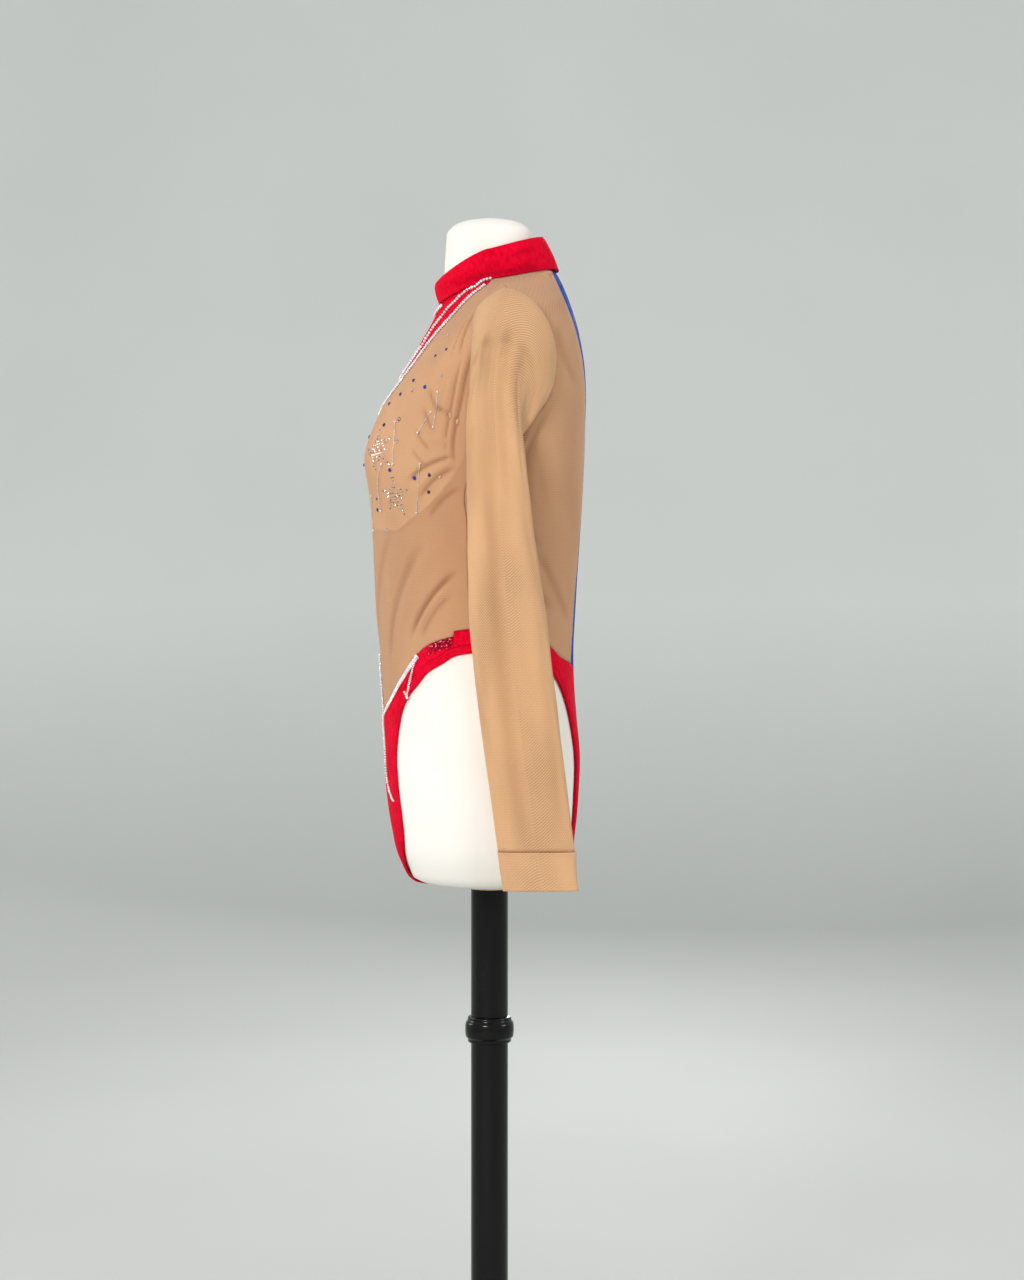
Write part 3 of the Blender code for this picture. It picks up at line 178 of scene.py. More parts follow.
# depth of the form below the garment's face, by level
FORM_CLEAR = ((1.362, 0.0042), (1.100, 0.0042), (1.030, 0.0042), (0.985, 0.0028), (0.940, 0.0026),
              (0.830, 0.0026), (0.790, 0.0029), (0.752, 0.0040))
BUST_SLACK = 0.0045
NECK = (
    (0.0515, 1.3700, 1.3900, 1.4070),
    (0.0495, 1.3840, 1.3990, 1.4130),
    (0.0480, 1.4080, 1.4130, 1.4200),
    (0.0462, 1.4340, 1.4350, 1.4360),
    (0.0440, 1.4410, 1.4410, 1.4410),
    (0.0340, 1.4485, 1.4485, 1.4485),
    (0.0170, 1.4525, 1.4525, 1.4525),
)
FORM_FLOOR = ((0.955, 0.7470), (0.880, 0.7435), (0.760, 0.7415), (0.400, 0.7405))
RING_PROFILE = ((0.0205, 0.5945), (0.0232, 0.5935), (0.0236, 0.5905), (0.0256, 0.5875),
                (0.0262, 0.5840), (0.0262, 0.5760), (0.0256, 0.5725), (0.0236, 0.5700),
                (0.0232, 0.5670), (0.0205, 0.5660))
BASE_PROFILE = ((0.0215, 0.0300), (0.0260, 0.0300), (0.0330, 0.0265), (0.0900, 0.0215),
                (0.1500, 0.0160), (0.1680, 0.0120), (0.1700, 0.0080), (0.1700, 0.0000))

# The photograph: its size in pixels and the camera that took it
PHOTO_WIDE, PHOTO_TALL = 1024, 1280
CAMERA = (2.5, 0.0243, 1.0)
METRES_A_PIXEL = 0.00108   # at the pole
FOCAL_PIXELS = CAMERA[0] / METRES_A_PIXEL
SENSOR_MM = 36.0


# The body surface
def hermite(xs, ys, x):
    """Values at x of the smooth curve through the given rows."""
    xs, ys, x = np.asarray(xs, float), np.asarray(ys, float), np.asarray(x, float)
    if xs[0] > xs[-1]:
        xs, ys = xs[::-1], ys[::-1]
    steps = np.diff(xs)
    rises = np.diff(ys) / steps
    inner = (rises[:-1] * steps[1:] + rises[1:] * steps[:-1]) / (steps[:-1] + steps[1:])
    slopes = np.concatenate([rises[:1], inner, rises[-1:]])
    k = np.clip(np.searchsorted(xs, x, side="right") - 1, 0, len(steps) - 1)
    t = (x - xs[k]) / steps[k]
    a, b = slopes[k] * steps[k], slopes[k + 1] * steps[k]
    return ((2 * t ** 3 - 3 * t * t + 1) * ys[k] + (t ** 3 - 2 * t * t + t) * a
            + (3 * t * t - 2 * t ** 3) * ys[k + 1] + (t ** 3 - t * t) * b)


LEVELS = [row[0] for row in BODY]


def body(around, level):
    """Outer face of the garment at angles in radians and levels."""
    around, level = np.broadcast_arrays(np.asarray(around, float), np.asarray(level, float))
    r = {name: hermite(LEVELS, [row[i] for row in BODY], level)
         for i, name in enumerate(BODY_COLUMNS) if i}
    s, c = np.sin(around), np.cos(around)
    front = c >= 0
    power = 2.0 / np.where(front, r["front_square"], r["back_square"])
    end_y = np.where(front, r["front_y"], r["back_y"])
    end_z = np.where(front, level, r["back_z"])
    x = r["side_x"] * np.sign(s) * np.abs(s) ** power
    y = r["side_y"] + (end_y - r["side_y"]) * np.abs(c) ** power
    z = r["side_z"] + (end_z - r["side_z"]) * np.abs(c) ** SIDE_HEIGHT_POWER
    bust = BUST_RISE * np.exp(-((np.abs(x) - BUST_X) / BUST_WIDE) ** 2
                              - ((z - BUST_Z) / BUST_TALL) ** 2)
    return np.stack([x, y - np.where(front, bust, 0.0), z], axis=-1)


def unit(vectors):
    return vectors / np.maximum(np.linalg.norm(vectors, axis=-1, keepdims=True), 1e-12)


def body_normal(around, level):
    e = 1e-3
    sideways = body(around + e, level) - body(around - e, level)
    upward = body(around, level + e) - body(around, level - e)
    return unit(np.cross(sideways, upward))


def arcs():
    """Lengths along and down the surface, for laying flat cloth on it."""
    angles = np.linspace(0, FULL_TURN, 361)
    levels = np.linspace(LOW_LEVEL, NECK_LEVEL, 181)
    grid = body(angles[None, :], levels[:, None])
    across = np.linalg.norm(np.diff(grid, axis=1), axis=2)
    down = np.linalg.norm(np.diff(grid, axis=0), axis=2)
    u = np.concatenate([np.zeros((181, 1)), np.cumsum(across, axis=1)], axis=1)
    v = np.concatenate([np.zeros((1, 361)), np.cumsum(down, axis=0)], axis=0)
    middle = int(np.searchsorted(levels, 1.065))
    return u, v - v[middle]


ARC_U, ARC_V = arcs()


def flat_place(around, level):
    """Place of a point on the cloth laid flat, in metres."""
    around, level = np.asarray(around, float), np.asarray(level, float)
    side = np.where(around < 0, -1.0, 1.0)
    i = np.clip(np.abs(around) / FULL_TURN * 360, 0, 359.999)
    j = np.clip((level - LOW_LEVEL) / (NECK_LEVEL - LOW_LEVEL) * 180, 0, 179.999)
    i0, j0 = i.astype(int), j.astype(int)
    fi, fj = i - i0, j - j0
    out = []
    for table in (ARC_U, ARC_V):
        out.append((table[j0, i0] * (1 - fi) + table[j0, i0 + 1] * fi) * (1 - fj)
                   + (table[j0 + 1, i0] * (1 - fi) + table[j0 + 1, i0 + 1] * fi) * fj)
    return np.stack([out[0] * side, out[1]], axis=-1)


def seen_at(pixels):
    """Places on the body that the camera sees at these pixels of the photograph."""
    angles = np.radians(np.linspace(0.5, 170, 180))
    levels = np.linspace(LOW_LEVEL + 0.002, NECK_LEVEL - 0.002, 260)
    a, l = [m.ravel() for m in np.meshgrid(angles, levels)]
    facing = (body_normal(a, l) * unit(np.array(CAMERA) - body(a, l))).sum(axis=1) > -0.02
    a, l = a[facing], l[facing]

    def project(around, level):
        p = body(around, level)
        f = FOCAL_PIXELS / (CAMERA[0] - p[..., 0])
        return np.stack([PHOTO_WIDE / 2 + (p[..., 1] - CAMERA[1]) * f,
                         PHOTO_TALL / 2 - (p[..., 2] - CAMERA[2]) * f], axis=-1)

    known = project(a, l)
    places = []
    for wanted in np.asarray(pixels, float):
        k = int(((known - wanted) ** 2).sum(axis=1).argmin())
        place = np.array([a[k], l[k]])
        for _ in range(4):
            e = 1e-4
            here = project(*place)
            slope = np.stack([(project(place[0] + e, place[1]) - here) / e,
                              (project(place[0], place[1] + e) - here) / e], axis=1)
            move = np.linalg.lstsq(slope, wanted - here, rcond=0.02)[0]
            place = place + np.clip(move, [-0.03, -0.004], [0.03, 0.004])
            place = np.clip(place, [0.0, LOW_LEVEL], [math.pi, NECK_LEVEL])
        places.append(place)
    return np.array(places)


# Seam lines
def smooth_chain(tables, spacing=STEP):
    """One smooth line through tables that follow each other, an array for each table."""
    rows = [tuple(row) for row in tables[0]]
    ends = [0, len(rows) - 1]
    for table in tables[1:]:
        rows += [tuple(row) for row in table[1:]]
        ends.append(len(rows) - 1)
    rows = np.array(rows, float) * (math.pi / 180, 1.0)
    flat = rows * (AROUND_TO_LENGTH, 1.0)
    run = np.concatenate([[0.0], np.cumsum(np.linalg.norm(np.diff(flat, axis=0), axis=1))])
    points = body(rows[:, 0], rows[:, 1])
    line, marks = [rows[:1]], [0]
    for k in range(len(rows) - 1):
        count = max(1, round(float(np.linalg.norm(points[k + 1] - points[k])) / spacing))
        at = run[k] + (run[k + 1] - run[k]) * np.arange(1, count + 1) / count
        if len(rows) > 2:
            line.append(np.stack([hermite(run, rows[:, 0], at), hermite(run, rows[:, 1], at)], axis=1))
        else:
            share = ((at - run[k]) / (run[k + 1] - run[k]))[:, None]
            line.append(rows[k] + (rows[k + 1] - rows[k]) * share)
        marks.append(marks[-1] + count)
    line = np.concatenate(line)
    return [line[marks[a]:marks[b] + 1] for a, b in zip(ends, ends[1:])]


def smooth_line(rows, spacing=STEP):
    return smooth_chain([rows], spacing)[0]


def even_line(rows, spacing):
    """Points an even distance apart on the body, along the smooth line through places in radians."""
    rows = np.asarray(rows, float)
    fine = smooth_line(np.column_stack([np.degrees(rows[:, 0]), rows[:, 1]]), 0.0008)
    points = body(fine[:, 0], fine[:, 1])
    run = np.concatenate([[0.0], np.cumsum(np.linalg.norm(np.diff(points, axis=0), axis=1))])
    at = np.arange(max(2, int(run[-1] / spacing) + 1)) * spacing
    at = at[at <= run[-1] + 1e-9]
    return np.stack([np.interp(at, run, fine[:, k]) for k in range(2)], axis=1)


def mirror(line):
    return np.asarray(line) * (-1.0, 1.0)


def wrapped(line):
    """The same line on the wearer's right, reached by going on past centre back."""
    return np.asarray(line) * (-1.0, 1.0) + (FULL_TURN, 0.0)


def sided(line, side):
    return line if side == "left" else mirror(line)


def back(line):
    return line[::-1]


def joined(*lines):
    return np.concatenate([line[:-1] for line in lines])


def level_line(start_deg, end_deg, level):
    start, end = math.radians(start_deg), math.radians(end_deg)
    fine = np.linspace(start, end, 400)
    points = body(fine, level)
    length = np.linalg.norm(np.diff(points, axis=0), axis=1).sum()
    count = max(2, round(float(length) / STEP))
    return np.stack([np.linspace(start, end, count + 1), np.full(count + 1, level)], axis=1)


def straight(start, end, spacing=STEP):
    start, end = np.asarray(start, float), np.asarray(end, float)
    length = np.linalg.norm(body(*end) - body(*start))
    count = max(1, round(float(length) / spacing))
    return start + (end - start) * (np.arange(count + 1) / count)[:, None]


# Outlines
def edge_moves(points, normals, inward=1.0):
    """Direction in the surface, square to a closed line, stretched at its corners."""
    before = unit(points - np.roll(points, 1, axis=0))
    after = unit(np.roll(points, -1, axis=0) - points)
    a = unit(np.cross(normals, before)) * inward
    b = unit(np.cross(normals, after)) * inward
    middle = unit(a + b)
    return middle / np.maximum(0.12, (middle * a).sum(axis=1))[:, None]


def leg_loop(side):
    """Edge of one leg opening: places on the body, then points below the form."""
    sign = 1 if side == "left" else -1
    chain = smooth_chain([LEG_BACK[side][::-1], LEG_SIDE_TO_HIP, LEG_HIP_TO_ZIGZAG, LEG_FRONT[side]])
    lines = {"back": back(chain[0]), "side_hip": chain[1], "hip_zigzag": chain[2], "front": chain[3]}
    if sign < 0:
        lines = {key: mirror(line) for key, line in lines.items()}
    places = np.concatenate([lines["side_hip"][:-1], lines["hip_zigzag"][:-1], lines["front"]])
    rows = [dict(zip(STRAP_COLUMNS, row)) for row in STRAP]
    ends = [{"y": BODY[-1][1], "z": LOW_LEVEL}] + rows + [{"y": BODY[-1][5], "z": LOW_LEVEL}]
    below, tilt = [], []
    for i, row in enumerate(rows):
        below.append((row["x"] + sign * row["width"] / 2, row["y"], row["z"]))
        before, after = ends[i], ends[i + 2]
        rise = (after["z"] - before["z"]) / (after["y"] - before["y"])
        tilt.append((0, rise, -1))
    rear = back(lines["back"])
    first, last = body(*places[-1]), body(*rear[0])
    keys = np.concatenate([[first], below, [last]])
    tilts = unit(np.array([body_normal(*places[-1]), *tilt, body_normal(*rear[0])], float))
    fine_at = np.linspace(0, len(keys) - 1, 6 * (len(keys) - 1) + 1)[1:-1]
    knots = np.arange(len(keys))
    below = np.stack([hermite(knots, keys[:, k], fine_at) for k in range(3)], axis=1)
    tilts = unit(np.stack([hermite(knots, tilts[:, k], fine_at) for k in range(3)], axis=1))
    points = np.concatenate([body(places[:, 0], places[:, 1]), below, body(rear[:-1, 0], rear[:-1, 1])])
    normals = np.concatenate([body_normal(places[:, 0], places[:, 1]), tilts,
                              body_normal(rear[:-1, 0], rear[:-1, 1])])
    return {"sign": sign, "lines": lines, "places": places, "rear": rear, "points": points,
            "normals": normals, "moves": edge_moves(points, normals, -sign),
            "below": (len(places), len(places) + len(below))}


def shifted(places, moves):
    """Places on the body reached from others by short moves in its surface."""
    e = 1e-4
    here = body(places[:, 0], places[:, 1])
    along = (body(places[:, 0] + e, places[:, 1]) - here) / e
    step = np.where((places[:, 1] + e > NECK_LEVEL) | (places[:, 1] > LOW_LEVEL + e), -e, e)
    up = (body(places[:, 0], places[:, 1] + step) - here) / step[:, None]
    aa, ab, bb = (along * along).sum(1), (along * up).sum(1), (up * up).sum(1)
    wa, wb = (moves * along).sum(1), (moves * up).sum(1)
    d = aa * bb - ab * ab
    return places + np.stack([(wa * bb - wb * ab) / d, (wb * aa - wa * ab) / d], axis=1)


def band_lines(loop, wide=BAND_WIDE):
    """Inner side of the binding: where the briefs end."""
    count = len(loop["places"])
    moved = shifted(loop["places"], loop["moves"][:count] * wide)
    a = len(loop["lines"]["side_hip"]) - 1
    b = a + len(loop["lines"]["hip_zigzag"]) - 1
    rear_moves = np.concatenate([loop["moves"][loop["below"][1]:], loop["moves"][:1]])
    rear = shifted(loop["rear"], rear_moves * wide)
    rear[-1] = moved[0]
    return {"side_hip": moved[:a + 1], "hip_zigzag": moved[a:b + 1], "front": moved[b:], "back": rear}


SIDES = {"left": 1, "right": -1}
LEG = {side: leg_loop(side) for side in SIDES}
BAND = {side: band_lines(LEG[side]) for side in SIDES}

shoulder = smooth_line(SHOULDER)
yoke_edge = smooth_line(YOKE_EDGE)
centre_front = smooth_line(CENTRE_FRONT)
side_seam = smooth_line(SIDE_SEAM)
blue_edge = smooth_line(BLUE_EDGE)
hip_step = smooth_line(HIP_STEP)
brief_top_side = smooth_line(BRIEF_TOP_SIDE)
brief_top_back = smooth_line(BRIEF_TOP_BACK)
brief_top_point = smooth_line(BRIEF_TOP_POINT)
hip_top = smooth_line(HIP_TOP)
zigzag_up = smooth_line(ZIGZAG_UP)
zigzag_peak = smooth_line(ZIGZAG_PEAK)
centre_back = smooth_line(CENTRE_BACK)
neck_front = level_line(-84.0, 84.0, NECK_LEVEL)
neck_side = level_line(84.0, 158.0, NECK_LEVEL)
neck_back = level_line(158.0, 202.0, NECK_LEVEL)

ARMHOLE_CYCLE = ([(p - 360, a, l) for p, a, l in ARMHOLE[-3:]] + list(ARMHOLE)
                 + [(p + 360, a, l) for p, a, l in ARMHOLE[:3]])


def armhole_places(phases_deg):
    knots = [row[0] for row in ARMHOLE_CYCLE]
    return np.stack([np.radians(hermite(knots, [row[1] for row in ARMHOLE_CYCLE], phases_deg)),
                     hermite(knots, [row[2] for row in ARMHOLE_CYCLE], phases_deg)], axis=1)


armhole_front = armhole_places(np.linspace(0, 180, AROUND_SLEEVE // 2 + 1))
armhole_back = armhole_places(np.linspace(180, 360, AROUND_SLEEVE // 2 + 1))

hip_line, step_line = {}, {}
for side, sign in SIDES.items():
    hip_line[side] = straight(zigzag_up[-1] * (sign, 1), BAND[side]["front"][0])
    step_line[side] = straight(hip_top[-1] * (sign, 1), BAND[side]["hip_zigzag"][0])
front_low = straight(BAND["left"]["front"][-1], BAND["right"]["front"][-1])
rear_right_low = BAND["right"]["back"][0] + (FULL_TURN, 0.0)
back_low_left = straight(BAND["left"]["back"][0], centre_back[-1])
back_low_right = straight(centre_back[-1], rear_right_low)


# Folds of the cloth, the main ones placed one by one.
# Each runs from one place to another, bows to one side, and has a width and a height (troughs below 0).
FOLD_COLUMNS = ("from_deg", "from_level", "to_deg", "to_level", "bow", "width", "height")
FRONT_FOLDS = (
    # fan of creases at the front of the underarm
    (79.0, 1.2020, 62.5, 1.2180, 0.003, 0.0022, -0.0016),
    (78.0, 1.1950, 60.0, 1.1995, -0.003, 0.0024, 0.0012),
    (80.0, 1.1830, 56.0, 1.1620, 0.004, 0.0020, -0.0015),
    (80.5, 1.1790, 58.0, 1.1500, 0.003, 0.0026, 0.0012),
    (81.0, 1.1740, 61.0, 1.1440, 0.004, 0.0020, -0.0014),
    (82.0, 1.1650, 64.0, 1.1330, 0.003, 0.0028, 0.0010),
    (83.0, 1.1560, 66.0, 1.1240, 0.003, 0.0022, -0.0010),
    (76.5, 1.2500, 80.5, 1.1700, 0.002, 0.0018, -0.0016),
    (73.5, 1.2480, 78.0, 1.1760, 0.002, 0.0022, 0.0014),
    (71.0, 1.2420, 75.5, 1.1820, 0.002, 0.0018, -0.0013),
    (68.0, 1.2360, 72.0, 1.1860, 0.002, 0.0024, 0.0009),
    # zebra of short wrinkles between the bust and the sleeve
    (57.0, 1.2320, 66.0, 1.2140, 0.001, 0.0015, -0.0012),
    (57.5, 1.2260, 67.0, 1.2070, 0.001, 0.0015, 0.0010),
    (57.0, 1.2200, 67.0, 1.2010, 0.001, 0.0015, -0.0013),
    (57.5, 1.2130, 68.0, 1.1950, 0.001, 0.0015, 0.0010),
    (57.0, 1.2060, 67.5, 1.1880, 0.001, 0.0015, -0.0012),
    (58.0, 1.1990, 68.0, 1.1810, 0.001, 0.0015, 0.0009),
    (57.5, 1.1920, 67.0, 1.1750, 0.001, 0.0015, -0.0009),
    # short upright pleats beside the armhole seam
    (69.0, 1.3000, 70.0, 1.2440, 0.001, 0.0020, -0.0014),
    (66.5, 1.2940, 68.0, 1.2400, 0.001, 0.0020, 0.0012),
    (64.0, 1.2900, 66.0, 1.2440, 0.001, 0.0018, -0.0010),
    (61.5, 1.2860, 63.5, 1.2360, 0.001, 0.0022, 0.0007),
    # drag lines from the waist towards the front of the hip
    (81.0, 1.0720, 50.0, 1.0010, 0.007, 0.0034, -0.0016),
    (80.0, 1.0600, 54.0, 0.9990, 0.006, 0.0042, 0.0012),
    (78.0, 1.0480, 58.0, 1.0020, 0.005, 0.0034, -0.0010),
    (74.0, 1.1050, 34.0, 0.9750, 0.014, 0.0080, 0.0009),
    (62.0, 1.1000, 28.0, 0.9700, 0.012, 0.0070, -0.0008),
    (50.0, 1.1100, 16.0, 0.9600, 0.010, 0.0090, 0.0006),
    (40.0, 1.1160, 10.0, 1.0050, 0.008, 0.0060, -0.0005),
)
BACK_FOLDS = (
    (112.0, 1.2060, 100.0, 1.1300, 0.004, 0.0040, -0.0013),
    (117.0, 1.2100, 106.0, 1.1200, 0.005, 0.0048, 0.0011),
    (122.0, 1.2160, 112.0, 1.1150, 0.005, 0.0042, -0.0010),
    (127.0, 1.2260, 119.0, 1.1300, 0.004, 0.0055, 0.0008),
    (98.0, 1.1600, 124.0, 1.0950, 0.006, 0.0050, -0.0011),
    (96.0, 1.1350, 130.0, 1.0600, 0.008, 0.0060, 0.0010),
    (95.0, 1.1080, 138.0, 1.0300, 0.010, 0.0052, -0.0010),
    (96.0, 1.0780, 142.0, 1.0080, 0.008, 0.0070, 0.0008),
    (120.0, 1.0950, 156.0, 1.0200, 0.006, 0.0060, -0.0007),
    (132.0, 1.2440, 152.0, 1.1940, 0.006, 0.0070, 0.0007),
    (128.0, 1.2800, 148.0, 1.2380, 0.005, 0.0060, -0.0006),
)


def relief(folds, around, level, shift=0.0):
    """Height of the folds above the body at each place."""
    p = flat_place(np.abs(around), level)
    total = np.zeros(len(p))
    for row in folds:
        f = dict(zip(FOLD_COLUMNS, row))
        start, end = flat_place(np.radians([f["from_deg"], f["to_deg"]]),
                                np.array([f["from_level"], f["to_level"]]))
        start, end = start + (0.0, shift), end + (0.0, shift)
        run = end - start
        length = np.hypot(*run)
        t = ((p - start) @ run) / length ** 2
        aside = ((p[:, 0] - start[0]) * run[1] - (p[:, 1] - start[1]) * run[0]) / length
        aside = aside - f["bow"] * 4 * t * (1 - t)
        fade = np.clip(np.minimum(t, 1 - t) / 0.28 + 0.15, 0, 1)
        fade = fade * fade * (3 - 2 * fade)
        total += f["height"] * fade * np.exp(-(aside / f["width"]) ** 2)
    return total


def near_line(places, line, reach=0.02):
    """Distance in metres from each place to a line of places, up to reach."""
    p = flat_place(places[:, 0], places[:, 1])
    q = flat_place(line[:, 0], line[:, 1])
    best = np.full(len(p), reach)
    for a, b in zip(q[:-1], q[1:]):
        run = b - a
        close = (np.abs(p - (a + b) / 2) < reach + np.abs(run)).all(axis=1)
        if not close.any():
            continue
        w = p[close] - a
        t = np.clip((w @ run) / max(run @ run, 1e-15), 0, 1)
        best[close] = np.minimum(best[close], np.linalg.norm(w - t[:, None] * run, axis=1))
    return best


def inside(places, outline):
    odd = np.zeros(len(places), bool)
    x, y = places[:, 0], places[:, 1]
    for p, q in zip(outline, np.roll(outline, -1, axis=0)):
        if p[1] == q[1]:
            continue
        crosses = (p[1] > y) != (q[1] > y)
        odd ^= crosses & (x < p[0] + (y - p[1]) * (q[0] - p[0]) / (q[1] - p[1]))
    return odd


# Meshes
def new_piece(name, points, faces, material, uv=None, attributes=()):
    mesh = bpy.data.meshes.new(name)
    mesh.from_pydata(np.asarray(points).tolist(), [], [tuple(int(i) for i in f) for f in faces])
    mesh.update()
    mesh.shade_smooth()
    if uv is not None:
        layer = mesh.uv_layers.new(name="cloth")
        corners = np.zeros(len(mesh.loops), np.int32)
        mesh.loops.foreach_get("vertex_index", corners)
        layer.data.foreach_set("uv", np.asarray(uv, np.float32)[corners].ravel())
    for key, values in attributes:
        mesh.attributes.new(key, "FLOAT", "POINT").data.foreach_set("value", np.asarray(values, np.float32))
    mesh.materials.append(material)
    thing = bpy.data.objects.new(name, mesh)
    bpy.context.scene.collection.objects.link(thing)
    return thing


def thicken(thing, wall=CLOTH):
    """Give a shell its thickness, inwards."""
    thing.modifiers.new("wall", "SOLIDIFY")
    thing.modifiers["wall"].thickness = wall
    thing.modifiers["wall"].offset = -1.0
    thing.modifiers["wall"].use_even_offset = False
    return thing


def finish_piece(thing, slot=None, *nodes):
    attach(thing, "root")
    if nodes:
        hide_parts(*nodes)
    return thing


def net_inside(outline, spacing):
    """Staggered places inside an outline, clear of its edge."""
    flat = outline * (AROUND_TO_LENGTH, 1.0)
    low, high = flat.min(axis=0), flat.max(axis=0)
    rows = int((high[1] - low[1]) / (spacing * 0.87)) + 1
    columns = int((high[0] - low[0]) / spacing) + 2
    j, i = np.meshgrid(np.arange(1, rows), np.arange(columns), indexing="ij")
    x = low[0] + (i + 0.5 * (j % 2)) * spacing
    y = low[1] + j * spacing * 0.87
    p = np.stack([x.ravel(), y.ravel()], axis=1)
    p = p[inside(p, flat)]
    near = np.full(len(p), 1.0)
    for a, b in zip(flat, np.roll(flat, -1, axis=0)):
        run = b - a
        close = (np.abs(p - (a + b) / 2) < spacing + np.abs(run)).all(axis=1)
        if close.any():
            w = p[close] - a
            t = np.clip((w @ run) / max(run @ run, 1e-15), 0, 1)
            near[close] = np.minimum(near[close], np.linalg.norm(w - t[:, None] * run, axis=1))
    return p[near > spacing * 0.5] / (AROUND_TO_LENGTH, 1.0)


def cloth(name, outline, material, height=None, masks=(), spacing=NET, folds=None, shift=0.0):
    """A shell of cloth on the body: outline, inner net, folds."""
    area = (outline[:, 0] * np.roll(outline[:, 1], -1) - np.roll(outline[:, 0], -1) * outline[:, 1]).sum()
    outline = outline[::-1] if area < 0 else outline
    places = np.concatenate([outline, net_inside(outline, spacing)])
    flat = [Vector(p) for p in (places * (AROUND_TO_LENGTH, 1.0)).tolist()]
    rim = list(range(len(outline)))
    _, _, found, origin, _, _ = delaunay_2d_cdt(flat, [], [rim], 1, 1e-7)
    triangles = np.array([[origin[i][0] for i in f] for f in found])
    a, b, c = (places[triangles[:, k]] for k in range(3))
    turn = (b[:, 0] - a[:, 0]) * (c[:, 1] - a[:, 1]) - (c[:, 0] - a[:, 0]) * (b[:, 1] - a[:, 1])
    triangles[turn < 0] = triangles[turn < 0][:, ::-1]
    points, normals = body(places[:, 0], places[:, 1]), body_normal(places[:, 0], places[:, 1])
    moves = edge_moves(points[:len(rim)], normals[:len(rim)])
    points[:len(rim)] += moves * SEAM_HALF
    if height is not None:
        points = points + normals * height(places)[:, None]
    attributes = [(key, mask(places)) for key, mask in masks]
    # Painted shade: the cloth is darkened in the troughs of its folds.
    if folds:
        depth = -relief(folds, places[:, 0], places[:, 1], shift)
        attributes.append(("shade_and_seam", np.clip(depth / FOLD_DARKEST, 0, 1)))
    return new_piece(name, points, triangles, material, flat_place(places[:, 0], places[:, 1]), attributes)


def grid_piece(name, rings, material, uv, closed=True, attributes=()):
    """A tube or strip from rings of equal size, with a seam column for the flat map."""
    rings = np.asarray(rings)
    count, around = rings.shape[:2]
    wide = around if closed else around - 1
    faces = []
    for r in range(count - 1):
        for i in range(wide):
            k = (i + 1) % around
            faces.append((r * around + i, (r + 1) * around + i, (r + 1) * around + k, r * around + k))
    thing = new_piece(name, rings.reshape(-1, 3), faces, material, None, attributes)
    layer = thing.data.uv_layers.new(name="cloth")
    corners = []
    for r in range(count - 1):
        for i in range(wide):
            corners += [uv[r, i], uv[r + 1, i], uv[r + 1, i + 1], uv[r, i + 1]]
    layer.data.foreach_set("uv", np.asarray(corners, np.float32).ravel())
    return thing


def copies(name, template, faces, places, axes, sizes, material, smooth=True):
    """Many small things as one mesh: the template set at each place in its own axes."""
    template, places, axes = np.asarray(template, float), np.asarray(places), np.asarray(axes)
    sizes = np.asarray(sizes, float).reshape(len(places), -1)
    local = template[None, :, :] * (sizes[:, None, :] if sizes.shape[1] == 3 else sizes[:, :, None])
    points = places[:, None, :] + np.einsum("nvk,nkj->nvj", local, axes)
    all_faces = [tuple(i + n * len(template) for i in f) for n in range(len(places)) for f in faces]
    thing = new_piece(name, points.reshape(-1, 3), all_faces, material)
    if not smooth:
        thing.data.shade_flat()
    return thing


def axes_on(places, turn=None):
    """Across, up and out at places on the body, turned about the outward direction."""
    a, l = places[:, 0], places[:, 1]
    out = body_normal(a, l)
    across = unit(body(a + 1e-3, l) - body(a - 1e-3, l))
    up = np.cross(out, across)
    if turn is not None:
        c, s = np.cos(turn)[:, None], np.sin(turn)[:, None]
        across, up = across * c + up * s, up * c - across * s
    return np.stack([across, up, out], axis=1)


# Materials
def shader(name, colour, roughness, **sockets):
    material = bpy.data.materials.new(name)
    material.use_nodes = True
    principled = material.node_tree.nodes["Principled BSDF"]
    principled.inputs["Base Color"].default_value = (*colour, 1.0)
    principled.inputs["Roughness"].default_value = roughness
    for key, value in sockets.items():
        principled.inputs[key.replace("_", " ")].default_value = value
    return material, material.node_tree, principled


def math_node(tree, kind, a, b=None):
    node = tree.nodes.new("ShaderNodeMath")
    node.operation = kind
    for socket, value in zip(node.inputs, (a, b)):
        if value is None:
            continue
        if isinstance(value, (int, float)):
            socket.default_value = value
        else:
            tree.links.new(value, socket)
    return node.outputs[0]


def place_node(tree, flat=True):
    coordinates = tree.nodes.new("ShaderNodeTexCoord")
    return coordinates.outputs["UV" if flat else "Object"]


def stripes(tree, place, angle_deg, period):
    """Soft stripes, 0 to 1, square to an angle on the flat cloth."""
    dot = tree.nodes.new("ShaderNodeVectorMath")
    dot.operation = "DOT_PRODUCT"
    tree.links.new(place, dot.inputs[0])
    k = FULL_TURN / period
    angle = math.radians(angle_deg)
    dot.inputs[1].default_value = (k * math.cos(angle), k * math.sin(angle), 0)
    return math_node(tree, "MULTIPLY_ADD", math_node(tree, "SINE", dot.outputs["Value"]), 0.5)


def noise(tree, place, scale, detail=2.0, stretch=None):
    if stretch:
        mapping = tree.nodes.new("ShaderNodeMapping")
        mapping.inputs["Scale"].default_value = stretch
        tree.links.new(place, mapping.inputs[0])
        place = mapping.outputs[0]
    node = tree.nodes.new("ShaderNodeTexNoise")
    node.inputs["Scale"].default_value = scale
    node.inputs["Detail"].default_value = detail
    tree.links.new(place, node.inputs["Vector"])
    return node.outputs["Fac"]


def ramp(tree, value, *stops):
    node = tree.nodes.new("ShaderNodeValToRGB")
    elements = node.color_ramp.elements
    while len(elements) < len(stops):
        elements.new(0.5)
    for element, (at, colour) in zip(elements, stops):
        element.position = at
        element.color = (*colour, 1.0)
    tree.links.new(value, node.inputs[0])
    return node.outputs[0]


